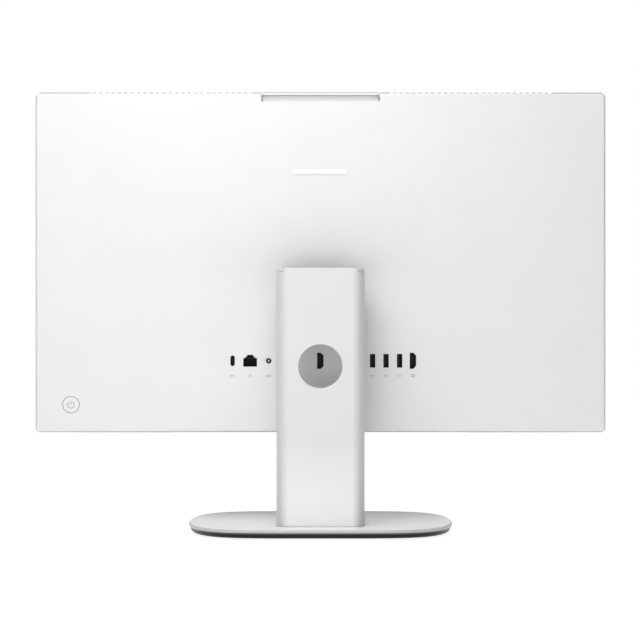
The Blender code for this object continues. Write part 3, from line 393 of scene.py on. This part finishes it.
PAINT = {
    "lcd_panel": panel, "chassis_plate": steel, "motherboard": board_green, "processor": aluminium,
    "heatsink": aluminium, "heat_pipe": copper, "fin_stack": aluminium,
    "fan_housing": black, "fan_rotor": black, "speaker_left": black, "speaker_right": black,
    "memory_module_1": board_green, "memory_module_2": board_green, "storage_drive": board_black,
    "wireless_card": steel, "coin_cell": steel, "antenna_left": gold, "antenna_right": gold,
    "button_board": board_green, "camera_board": board_green,
    "camera_rail_left": black, "camera_rail_right": black, "camera_housing": white, "camera_lens": screen,
    "hinge_arm": dark_steel, "hinge_bracket": dark_steel, "hinge_shaft": steel, "hinge_nut": steel,
    "hinge_washer_left": washer_bronze, "hinge_washer_right": washer_bronze,
    "column_spine": steel, "column_foot_block": dark_steel, "base_weight_plate": dark_steel,
    "stand_thumbscrew": steel, "foot_1": rubber, "foot_2": rubber, "foot_3": rubber, "foot_4": rubber,
    "usb_c_port": socket_shell_painted_shade, "ethernet_port": black, "power_inlet": black, "hdmi_out_port": socket_shell_painted_shade,
    "hdmi_in_port": socket_shell_painted_shade, "usb_a_port_1": socket_shell_painted_shade, "usb_a_port_2": socket_shell_painted_shade,
    "usb_a_port_3": socket_shell_painted_shade, "display_glass": screen, "trim_bar": pearl,
    "rear_cover": white, "mid_frame": seam_grey, "front_bezel": black, "power_button": white,
    "column_rear_shell": column_white_painted_shading, "column_front_shell": column_white_painted_shading, "cable_sleeve": column_white_painted_shading,
    "column_top_cap": cap_painted_shade, "base_top_shell": white_base, "base_skirt": skirt_black_painted_light,
    "speaker_grille_left": white, "speaker_grille_right": white,
}


def paint_nodes():
    """Give every CAD node its look."""
    for name, paint in PAINT.items():
        node = nodes[name]
        if not node.material_slots:
            node.data.materials.append(paint)
        for held in node.material_slots:
            held.material = paint


# ---------------------------------------------------------------- finished pieces
def mesh_copy(node):
    """A node's own mesh as a new object, so that it can be worked on."""
    mesh = nodes[node].data.copy()
    obj = bpy.data.objects.new(node + "_finish", mesh)
    bpy.context.scene.collection.objects.link(obj)
    bm = bmesh.new()
    bm.from_mesh(mesh)
    bmesh.ops.remove_doubles(bm, verts=bm.verts[:], dist=1e-7)
    bmesh.ops.dissolve_limit(bm, angle_limit=math.radians(0.6), verts=bm.verts[:], edges=bm.edges[:])
    bm.to_mesh(mesh)
    bm.free()
    return obj


def refined(node, width=0.25, segments=2, angle=35):
    """Stand for a node by a copy of it with softened edges."""
    obj = soften(mesh_copy(node), width, segments, angle)
    return piece(obj, BODY_OF[node], PAINT[node], (node,))


def arc(x, z, radius, start, stop, steps):
    """Points on a circle between two angles in degrees."""
    turns = [math.radians(start + (stop - start) * i / steps) for i in range(steps + 1)]
    return [(x + radius * math.cos(t), z + radius * math.sin(t)) for t in turns]


def stadium(x, z, width, height, steps=12):
    """Upright slot with round ends."""
    radius, straight = width / 2, (height - width) / 2
    return arc(x, z + straight, radius, 0, 180, steps) + arc(x, z - straight, radius, 180, 360, steps)


def mouth(kind, x, z, grow=0.0):
    """Outline of a connector's opening, larger by grow all round."""
    if kind == "usb_c":
        half, tall = USB_C_HALF
        return stadium(x, z, 2 * half + 2 * grow, 2 * tall + 2 * grow)
    if kind == "usb_a":
        half, tall = USB_A_HALF
        return rounded(x - half, x + half, z - tall, z + tall, 0.3, 0.3, -grow, 3)
    if kind == "hdmi":
        half, tall = HDMI_HALF
        a, b, low, high = x + half + grow, x - half - grow, z - tall - grow, z + tall + grow
        narrow, taper = b + HDMI_TAPER, HDMI_TAPER
        return [(a, low), (a, high), (narrow, high), (b, high - taper), (b, low + taper), (narrow, low)]
    low = z - ETHERNET_LOW
    right = [(6.5, -2 * grow), (6.5, 8.3), (4.3, 8.3), (4.3, 9.8), (3.0, 9.8), (3.0, 11.3)]
    right = [(px + grow, low + pz + grow) for px, pz in right]
    return [(x + px, pz) for px, pz in right] + [(x - px, pz) for px, pz in reversed(right)]


def port_place(node):
    """X and Z of a connector's middle."""
    low, high = span(node)
    return (low[0] + high[0]) / 2, PORT_Z


def quarter(steps):
    """Turns of a quarter circle in radians, from none to all of it."""
    return [math.radians(90 * i / steps) for i in range(steps + 1)]


def cover_shell():
    """Dished shell, open to the front, with its rear edge rounded."""
    (x0, y0, z0), (x1, y1, z1) = span("rear_cover")
    shape, inner = (x0, x1, z0, z1, BOTTOM_RADIUS, TOP_RADIUS), y1 - COVER_WALL
    hollow = rounded(*shape, inset=COVER_WALL)
    rows = [at_y(hollow, inner), at_y(hollow, y0)]
    rows += [at_y(rounded(*shape, inset=COVER_CHAMFER), y0), at_y(rounded(*shape), y0 + COVER_CHAMFER)]
    for t in quarter(COVER_STEPS):
        inset, drop = COVER_FILLET * (1 - math.cos(t)), COVER_FILLET * (1 - math.sin(t))
        rows.append(at_y(rounded(*shape, inset=inset), y1 - drop))
    return mesh_object("rear_cover_finish", loft(rows))


def cove_place():
    """Half widths of the camera's lid and of its opening, and the height of the lid's lower edge."""
    low, high = span("camera_housing")
    half = (high[0] - low[0]) / 2
    return half, half + CAMERA_GAP, span("rear_cover")[1][2] - CAMERA_LIP


def cut_cove(cover):
    """Finger cove, deepest under the camera's lid, with a slit at each end, and the camera's shaft."""
    (_, y0, _), (_, y1, z1) = span("rear_cover")
    half, opening, lip = cove_place()
    front = y1 - COVE_DEPTH - COVE_WALL
    wall = box(-half - 3, half + 3, front, y1 - 1.0, z1 - COVE_HEIGHT - 6, z1 - 1.2)
    combine(cover, wall, "UNION")
    radius = (COVE_DEPTH**2 + COVE_HEIGHT**2) / (2 * COVE_DEPTH)
    reach = math.asin(min(1.0, COVE_HEIGHT / radius))
    trough = [(y1 + 6, lip + 6), (y1 - COVE_DEPTH, lip + 6)]
    for i in range(COVE_STEPS + 1):
        t = reach * i / COVE_STEPS
        trough.append((y1 - COVE_DEPTH + radius * (1 - math.cos(t)), lip - radius * math.sin(t)))
    trough.append((y1 + 6, lip - COVE_HEIGHT - 0.01))
    combine(cover, loft([at_x(trough, -opening), at_x(trough, opening)]))
    slits = bmesh.new()
    for side in (-1, 1):
        a, b = sorted((side * half, side * opening))
        box(a, b, front - 1.0, y1 + BEYOND, lip - COVE_HEIGHT + 0.8, lip + 1.0, slits)
    combine(cover, slits)
    combine(cover, box(-opening, opening, y0 + 1.2, y1 + BEYOND, lip - PLAY, z1 + BEYOND))
    shaft = half - (CAMERA_LID_OVER - PLAY)
    combine(cover, box(-shaft, shaft, y0 + 1.2, front - 0.01, z1 - 8, z1 + BEYOND))


def cut_vents(cover):
    """A row of slots through the top wall on each side of the camera."""
    _, (_, y1, z1) = span("rear_cover")
    vents = bmesh.new()
    far = y1 - VENT_BACK
    for side in (-1, 1):
        for i in range(VENT_COUNT):
            x = side * (VENT_FIRST + VENT_PITCH * i)
            wide = VENT_WIDTH / 2
            box(x - wide, x + wide, far - VENT_DEPTH, far, z1 - BEYOND, z1 + BEYOND, vents)
    combine(cover, vents)


def cut_connectors(cover):
    """The sockets' openings, the power inlet in its shallow recess, and the button's hole."""
    y1 = span("rear_cover")[1][1]
    inner, far = y1 - COVER_WALL, y1 + BEYOND
    holes = bmesh.new()
    for node, kind in PORT_KINDS.items():
        outline = mouth(kind, *port_place(node))
        loft([at_y(outline, inner - BEYOND), at_y(outline, far)], holes)
    combine(cover, holes)
    x, z = port_place("power_inlet")
    floor = y1 - POWER_RECESS
    profile = [(POWER_R, inner - BEYOND), (POWER_R, floor - 0.25), (POWER_R + 0.25, floor)]
    profile += [(POWER_RECESS_R, floor), (POWER_RECESS_R, far)]
    combine(cover, turned(profile, "Y", (x, 0, z), 64))
    low, high = span("power_button")
    x, z, r = (low[0] + high[0]) / 2, (low[2] + high[2]) / 2, BUTTON_R + BUTTON_GAP
    combine(cover, turned([(r, inner - BEYOND), (r, far)], "Y", (x, 0, z), 96))


def cut_grilles(cover):
    """Openings in the bottom wall for the two speaker strips."""
    z0 = span("rear_cover")[0][2]
    grilles = bmesh.new()
    for side in ("left", "right"):
        low, high = span("speaker_grille_" + side)
        x, y = (low[0] - PLAY, high[0] + PLAY), (low[1] - PLAY, high[1] + PLAY)
        box(*x, *y, z0 - BEYOND, z0 + BEYOND, grilles)
    combine(cover, grilles)


def paint_cover(cover):
    """Painted shade: a darker rim round the rear face, and black walls in the slits at the ends of the cove.
    """
    (x0, _, z0), (x1, y1, z1) = span("rear_cover")
    half, opening, lip = cove_place()
    rim = COVER_FILLET * (1 - math.cos(math.radians(RIM_TURN)))
    cover.data.materials.append(edge_painted_shade)
    cover.data.materials.append(slit_painted_shadow)
    for face in cover.data.polygons:
        x, y, z = face.center / MM
        near = min(x - x0, x1 - x, z - z0, z1 - z)
        if near < rim and y > y1 - COVER_FILLET - 0.5:
            face.material_index = 1
        # Faces inside the slits get the painted shadow.
        if half - 0.05 < abs(x) < opening + 0.05 and lip - COVE_HEIGHT < z < lip and y < y1 - 0.4:
            face.material_index = 2


def rear_cover():
    cover = cover_shell()
    for cut in (cut_cove, cut_vents, cut_connectors, cut_grilles):
        cut(cover)
    soften(cover, 0.22, 2, 30)
    piece(cover, "head", white, ("rear_cover",))
    paint_cover(cover)


def ethernet_pins(x, z, back):
    """Eight spring contacts side by side."""
    pins = bmesh.new()
    for i in range(8):
        px = x + (i - 3.5) * 1.02
        box(px - 0.18, px + 0.18, back - 0.2, back + 5.0, z + 2.1, z + 2.4, pins)
    return [(mesh_object("pins", pins, separate=True), contact_painted_shade)]


def tongue(kind, x, z, back, y1):
    """The blade in a socket, and the contacts along one of its faces."""
    t0, t1, half = TONGUES[kind]
    blade = mesh_object("tongue", box(x + t0, x + t1, back - 0.3, y1 - 1.6, z - half, z + half))
    soften(blade, 0.15, 2, 30)
    pins, face = bmesh.new(), x + t0
    count, wide = CONTACTS[kind]
    for i in range(count):
        pz = z + (i - (count - 1) / 2) * (2 * half - 1.6) / (count - 1)
        box(face - 0.07, face + 0.05, back, y1 - 3.0, pz - wide, pz + wide, pins)
    return [(blade, tongue_black), (mesh_object("pins", pins, separate=True), contact_painted_shade)]


def socket(node, kind):
    """Connector: its shell round a pocket, and what is in the pocket."""
    (x0, y0, z0), (x1, y1, z1) = span(node)
    x, z = port_place(node)
    back = y1 - SOCKET_DEEP[kind]
    outline = mouth(kind, x, z, PORT_SHELL)
    if kind == "ethernet":
        outline = rounded(x0, x1, z0, z1, 0.5, 0.5, 0, 3)
    body = mesh_object("shell", loft([at_y(outline, y0), at_y(outline, y1)]))
    pocket = mouth(kind, x, z, POCKET_PLAY)
    combine(body, loft([at_y(pocket, back), at_y(pocket, y1 + BEYOND)]))
    soften(body, 0.12, 2, 30)
    if kind == "ethernet":
        parts = [(body, socket_black_painted_shade)] + ethernet_pins(x, z, back)
    else:
        parts = [(body, socket_shell_painted_shade)] + tongue(kind, x, z, back, y1)
    piece(merged(node + "_finish", parts), "head", None, (node,))


def merged(name, parts):
    """One object from (object, look) pairs, each look on its own faces."""
    bm, looks = bmesh.new(), []
    for index, (obj, look_of) in enumerate(parts):
        count = len(bm.faces)
        bm.from_mesh(obj.data)
        bm.faces.ensure_lookup_table()
        for face in bm.faces[count:]:
            face.material_index = index
        looks.append(look_of)
        bpy.data.objects.remove(obj, do_unlink=True)
    mesh = bpy.data.meshes.new(name)
    bm.to_mesh(mesh)
    bm.free()
    for look_of in looks:
        mesh.materials.append(look_of)
    obj = bpy.data.objects.new(name, mesh)
    bpy.context.scene.collection.objects.link(obj)
    mesh.set_sharp_from_angle(angle=math.radians(35))
    return obj


def power_inlet():
    """Round barrel with a lining painted black as shade in its bore, and a centre pin painted bright white as
    a highlight.
    """
    (x0, y0, _), (x1, y1, _) = span("power_inlet")
    x, z = port_place("power_inlet")
    outer, inner, deep = (x1 - x0) / 2, POWER_R + POCKET_PLAY, y1 - POWER_DEEP
    barrel = [(outer, y0), (outer, y1), (inner, y1), (inner, deep), (PIN_R - 0.1, deep)]
    body = soften(mesh_object("barrel", turned(barrel, "Y", (x, 0, z), 64)), 0.1, 2, 30)
    tip = [(PIN_R, deep - 0.5), (PIN_R, y1 - 0.7), (PIN_R - 0.25, y1 - 0.35), (0.2, y1 - 0.3)]
    pin = mesh_object("pin", turned(tip + [(0.2, y1 - 0.6)], "Y", (x, 0, z), 48))
    sleeve = [(inner - 0.02, deep), (inner - 0.02, y1 - 0.7), (inner - 0.25, y1 - 0.8), (inner - 0.25, deep)]
    lining = mesh_object("lining", turned(sleeve, "Y", (x, 0, z), 64, closed=True))
    parts = [(body, socket_black_painted_shade), (pin, pin_painted_highlight), (lining, socket_black_painted_shade)]
    piece(merged("power_inlet_finish", parts), "head", None, ("power_inlet",))


def column_place():
    """Front, rear and top of the column."""
    high = span("column_rear_shell")[1]
    return span("column_front_shell")[0][1], high[1], high[2]


def column_half(inset, mid, rear):
    """Half of the column's plan, from one side wall round the rear to the other, its corners round."""
    half, rear, radius = COLUMN_HALF - inset, rear - inset, COLUMN_ROUND - inset
    corner = arc(half - radius, rear - radius, radius, 0, 90, COLUMN_STEPS)
    return [(half, mid)] + corner + [(-px, py) for px, py in reversed(corner)] + [(-half, mid)]


def cable_hole(front, rear):
    """Round hole through the column, flared at both ends."""
    profile = [(HOLE_R + HOLE_FLARE + 2.0, rear + 1.0)]
    for i in range(FLARE_STEPS + 1):
        t = math.radians(90 - 90 * i / FLARE_STEPS)
        out = HOLE_R + HOLE_FLARE * (1 - math.cos(t))
        profile.append((out, rear - HOLE_FLARE + HOLE_FLARE * math.sin(t)))
    profile += [(r, front + rear - y) for r, y in reversed(profile)]
    return turned(profile, "Y", (0, 0, HOLE_Z), 128)


def column_shells():
    """Two half shells that meet at a fine seam, the rear one notched for the cap."""
    front, rear, top = column_place()
    foot = span("column_rear_shell")[0][2]
    middle, under_cap = (front + rear) / 2, top - CAP_HEIGHT
    outer = column_half(0, middle + COLUMN_SEAM, rear)
    shape = outer + column_half(COLUMN_WALL, middle + COLUMN_SEAM, rear)[::-1]
    mirrored = [(x, 2 * middle - y) for x, y in shape]
    back = mesh_object("column_rear_finish", loft([at_z(shape, foot), at_z(shape, top)]))
    face = mesh_object("column_front_finish", loft([at_z(mirrored, foot), at_z(mirrored, under_cap)]))
    for obj in (back, face):
        combine(obj, cable_hole(front, rear))
    flat, wide = COLUMN_HALF - COLUMN_CUT, COLUMN_HALF + BEYOND
    notch = box(flat, wide, middle - BEYOND, rear + BEYOND, under_cap, top + BEYOND)
    combine(back, box(-wide, -flat, middle - BEYOND, rear + BEYOND, under_cap, top + BEYOND, notch))
    for obj, node in ((back, "column_rear_shell"), (face, "column_front_shell")):
        soften(obj, 0.3, 3, 35)
        piece(obj, "stand", column_white_painted_shading, (node,))


def cable_sleeve():
    (_, s0, _), (_, s1, _) = span("cable_sleeve")
    outside = HOLE_R + SLEEVE_WALL
    profile = [(HOLE_R, s0), (outside, s0), (outside, s1), (HOLE_R, s1)]
    lining = mesh_object("cable_sleeve_finish", turned(profile, "Y", (0, 0, HOLE_Z), 128, closed=True))
    soften(lining, 0.3, 2, 35)
    piece(lining, "stand", column_white_painted_shading, ("cable_sleeve",))


def column_cap():
    """The part's own cap, cut to the column's rounded plan."""
    front, rear, top = column_place()
    cap = mesh_copy("column_top_cap")
    sides = (-COLUMN_HALF, COLUMN_HALF, front, rear)
    plan = rounded(*sides, COLUMN_ROUND, COLUMN_ROUND, CAP_INSET, COLUMN_STEPS)
    combine(cap, loft([at_z(plan, top - 10), at_z(plan, top + BEYOND)]), "INTERSECT")
    soften(cap, 0.4, 3)
    # The cap's grey is painted shade.
    piece(cap, "stand", cap_painted_shade, ("column_top_cap",))


def base_plan(inset, a, b, count=240):
    """Superellipse, flatter at its front and back than at its sides."""
    points = []
    for i in range(count):
        turn = 2 * math.pi * (i + 0.5) / count
        c, s = math.cos(turn), math.sin(turn)
        x = math.copysign((a - inset) * abs(c) ** (2 / BASE_N), c)
        points.append((x, math.copysign((b - inset) * abs(s) ** (2 / BASE_M), s)))
    return points


def base_shell():
    """Shell with a raised rim: rows of (inset, height) over its rounded edge and down into its dish."""
    (_, _, under), (a, b, top) = span("base_top_shell")
    rows = [(6.0, under), (0.9, under), (0.5, under + 0.15), (0.2, under + 0.5), (0.0, under + 1.1)]
    rows += [(0.04, under + 1.7), (0.3, top - 1.3), (0.7, top - 0.75), (1.3, top - 0.33), (2.0, top - 0.08)]
    rows += [(2.8, top), (3.8, top - 0.05), (5.0, top - 0.2), (7.0, top - 0.38), (9.5, top - 0.54)]
    rows += [(13.0, top - 0.68), (18.0, top - 0.78), (26.0, top - BASE_DISH)]
    shell = mesh_object("base_top_finish", loft([at_z(base_plan(i, a, b), z) for i, z in rows]))
    low, high = span("stand_thumbscrew")
    y = (low[1] + high[1]) / 2
    combine(shell, turned([(SCREW_BORE, under - 3), (SCREW_BORE, top + 3)], "Z", (0, y, 0), 64))
    soften(shell, 0, angle=50)
    piece(shell, "stand", white_base, ("base_top_shell",))
    # Faces of the outer edge get the painted shade; the top stays white.
    shell.data.materials.append(base_rim_painted_shade)
    for facet in shell.data.polygons:
        if facet.normal.z < 0.9 and facet.center.z > under * MM:
            facet.material_index = 1


def base_skirt():
    """Dark ring under the base's shell, curving inward down to the floor."""
    high = span("base_top_shell")[1]
    bottom, top = span("base_skirt")[0][2], span("base_skirt")[1][2]
    rows = []
    for t in quarter(SKIRT_STEPS):
        rows.append((SKIRT_START + SKIRT_REACH * (1 - math.cos(t)), top - (top - bottom) * math.sin(t)))
    rows += [(6.0, bottom), (6.0, top)]
    rings = [at_z(base_plan(i, high[0], high[1]), z) for i, z in rows]
    skirt = mesh_object("base_skirt_finish", loft(rings, closed=True))
    soften(skirt, 0, angle=50)
    piece(skirt, "stand", skirt_black_painted_light, ("base_skirt",))


def power_button():
    """Round cap with a flange behind the cover, a soft edge and a slightly dished face."""
    low, high = span("power_button")
    x, z, back, y1 = (low[0] + high[0]) / 2, (low[2] + high[2]) / 2, low[1], high[1]
    profile = [(2.0, back), (2.0, back + 1.6), (9.2, back + 1.6), (9.2, back + 3.5), (BUTTON_R, back + 3.5)]
    for t in quarter(6):
        profile.append((BUTTON_R - 0.5 * (1 - math.cos(t)), y1 - 0.6 + 0.45 * math.sin(t)))
    profile += [(5.5, y1 - 0.19), (3.0, y1 - 0.25), (0.5, y1 - 0.27)]
    cap = mesh_object("power_button_finish", turned(profile, "Y", (x, 0, z), 96))
    soften(cap, 0, angle=40)
    piece(cap, "power_button", white, ("power_button",))
    button_glyph(x, z, y1)


def button_glyph(x, z, y1):
    """The common on and off sign: an open ring with a bar in its gap."""
    deep, face = y1 - 0.5, y1 - 0.18
    ring = arc(x, z - 0.3, 3.3, 125, 415, 28) + arc(x, z - 0.3, 2.65, 415, 125, 28)
    bar = stadium(x, z + 1.9, 0.66, 3.4, 6)
    glyph = bmesh.new()
    for outline in (ring, bar):
        loft([at_y(outline, deep), at_y(outline, face)], glyph)
    glyph = mesh_object("button_glyph", glyph, separate=True)
    piece(glyph, "power_button", ink_light)


def pictograms():
    """Faint generic marks under the connectors: a screen, a network, and a bar with a small frame."""
    y1 = span("rear_cover")[1][1]
    back, face = y1 - 0.2, y1 + 0.03
    bm = bmesh.new()

    def bar(x, z, width, height):
        outline = rounded(x - width / 2, x + width / 2, z - height / 2, z + height / 2, 0.2, 0.2, 0, 3)
        loft([at_y(outline, back), at_y(outline, face)], bm)

    def frame_mark(x, z, width, height, line=0.28):
        for side in (-1, 1):
            bar(x + side * (width - line) / 2, z, line, height)
            bar(x, z + side * (height - line) / 2, width - 2 * line - 0.02, line)

    z = PORT_Z - MARK_DROP
    for node, kind in PORT_KINDS.items():
        x = port_place(node)[0]
        if node == "hdmi_out_port":
            continue
        if kind == "hdmi":
            frame_mark(x, z + 0.3, 3.4, 1.9)
            bar(x, z - 1.1, 1.6, 0.28)
        elif kind == "ethernet":
            for dx, dz in ((0, 0.8), (-1.4, -0.8), (1.4, -0.8)):
                bar(x + dx, z + dz, 1.1, 0.8)
            bar(x, z, 3.4, 0.22)
        else:
            bar(x - 1.2, z, 1.6, 0.9)
            frame_mark(x + 1.0, z, 1.8, 1.3)
    x = port_place("power_inlet")[0]
    bar(x - 1.9, z, 1.4, 0.25)
    bar(x + 1.9, z, 1.4, 0.25)
    frame_mark(x, z, 1.5, 1.5)
    piece(mesh_object("socket_marks", bm, separate=True), "head", ink)


def camera():
    """The lifting housing with the upper edge of its lid darkened by painted shade, and its lens."""
    housing = refined("camera_housing", 0.3, 2)
    housing.data.materials.append(edge_painted_shade)
    top = span("camera_housing")[1][2]
    # Painted shade on the lid's upper edge.
    for facet in housing.data.polygons:
        if facet.center.z > (top - 0.75) * MM and facet.normal.y > 0.2 and facet.normal.z > 0.1:
            facet.material_index = 1
    refined("camera_lens", 0.15, 3)


def build():
    paint_nodes()
    rear_cover()
    for node, kind in PORT_KINDS.items():
        socket(node, kind)
    power_inlet()
    column_shells()
    cable_sleeve()
    column_cap()
    base_shell()
    base_skirt()
    power_button()
    pictograms()
    camera()
    refined("display_glass", 0.2, 2)
    refined("mid_frame", 0.3, 2)
    refined("front_bezel", 0.25, 2)
    simple = ("hinge_arm", "hinge_bracket", "speaker_grille_left", "speaker_grille_right", "stand_thumbscrew")
    for node in simple:
        refined(node, 0.25)
    for number in range(1, 5):
        refined(f"foot_{number}", 0.3)
    refined("trim_bar", 0.15, 3)


build()


# ---------------------------------------------------------------- stage, light and camera
FLOOR_HALF, FLOOR_THICK = 3000, 20
CAMERA_PLACE, CAMERA_LENS, SENSOR_WIDTH, CAMERA_SIGHT = (0.0, 2.0935, 0.1994), 124.26, 36.0, 50.0
FRAMING_SHIFT = -0.0008
AMBIENT_LIGHT, BACKDROP_LIGHT, SKY_LIGHT, FLOOR_GLOW = 0.02, 0.58, 1.0, 0.88

# Name, place, target, size and power of each lamp, in metres and watts
LAMPS = (
    ("overhead", (0.3, 0.8, 2.0), (0.0, 0.0, 0.0), 2.0, 34.5),
    ("near_key", (0.08, 0.42, 0.62), (0.06, 0.0, 0.28), 0.25, 0.78),
    ("near_left", (0.36, 0.42, 0.60), (0.10, 0.0, 0.22), 0.25, 0.29),
    ("low_fill", (0.12, 0.80, 0.10), (0.0, 0.07, 0.06), 0.3, 0.67),
)


def floor_look():
    """Pale sweep, faintly mottled, with a little light of its own as on a light table."""
    made = look("floor_white", (0.35, 0.35, 0.35), 0.7, vary=0.01, grain=300, bump=0.0)
    shader = made.node_tree.nodes["Principled BSDF"]
    shader.inputs["Emission Color"].default_value = (1.0, 1.0, 1.0, 1.0)
    shader.inputs["Emission Strength"].default_value = FLOOR_GLOW
    shader.inputs["Specular IOR Level"].default_value = 0.2
    return made


def world_look():
    """White to the camera. As light it is dim around the rear of the object and bright beyond its screen."""
    world = bpy.data.worlds.new("studio")
    world.use_nodes = True
    tree = world.node_tree
    new, link = tree.nodes.new, tree.links.new
    place, split, band = new("ShaderNodeTexCoord"), new("ShaderNodeSeparateXYZ"), new("ShaderNodeMapRange")
    link(place.outputs["Generated"], split.inputs["Vector"])
    link(split.outputs["Y"], band.inputs["Value"])
    band.inputs["From Min"].default_value, band.inputs["From Max"].default_value = -0.6, 0.0
    band.inputs["To Min"].default_value, band.inputs["To Max"].default_value = BACKDROP_LIGHT, AMBIENT_LIGHT
    ambient = tree.nodes["Background"]
    ambient.inputs["Color"].default_value = (1.0, 1.0, 1.0, 1.0)
    link(band.outputs["Result"], ambient.inputs["Strength"])
    sky = new("ShaderNodeBackground")
    sky.inputs["Color"].default_value = (1.0, 1.0, 1.0, 1.0)
    sky.inputs["Strength"].default_value = SKY_LIGHT
    ray, mix = new("ShaderNodeLightPath"), new("ShaderNodeMixShader")
    link(ray.outputs["Is Camera Ray"], mix.inputs["Fac"])
    link(ambient.outputs["Background"], mix.inputs[1])
    link(sky.outputs["Background"], mix.inputs[2])
    link(mix.outputs["Shader"], tree.nodes["World Output"].inputs["Surface"])
    return world


def area(name, place, target, size, power):
    lamp = bpy.data.lights.new(name, "AREA")
    lamp.shape, lamp.size, lamp.energy = "SQUARE", size, power
    obj = bpy.data.objects.new(name, lamp)
    bpy.context.scene.collection.objects.link(obj)
    obj.location = place
    obj.rotation_mode = "QUATERNION"
    obj.rotation_quaternion = (Vector(target) - Vector(place)).to_track_quat("-Z", "Y")


def view_camera():
    """Straight from behind and level, a little below the middle of the object."""
    camera = bpy.data.cameras.new("camera")
    camera.lens, camera.sensor_width = CAMERA_LENS, SENSOR_WIDTH
    camera.shift_x = FRAMING_SHIFT
    camera.clip_end = CAMERA_SIGHT
    obj = bpy.data.objects.new("camera", camera)
    bpy.context.scene.collection.objects.link(obj)
    obj.location = CAMERA_PLACE
    obj.rotation_euler = (math.pi / 2, 0.0, math.pi)
    bpy.context.scene.camera = obj


def studio():
    sides = (-FLOOR_HALF, FLOOR_HALF)
    floor = mesh_object("floor", box(*sides, *sides, -FLOOR_THICK, 0))
    floor.data.materials.append(floor_look())
    bpy.context.scene.world = world_look()
    for lamp in LAMPS:
        area(*lamp)
    bpy.context.scene.view_settings.view_transform = "Standard"
    view_camera()


studio()
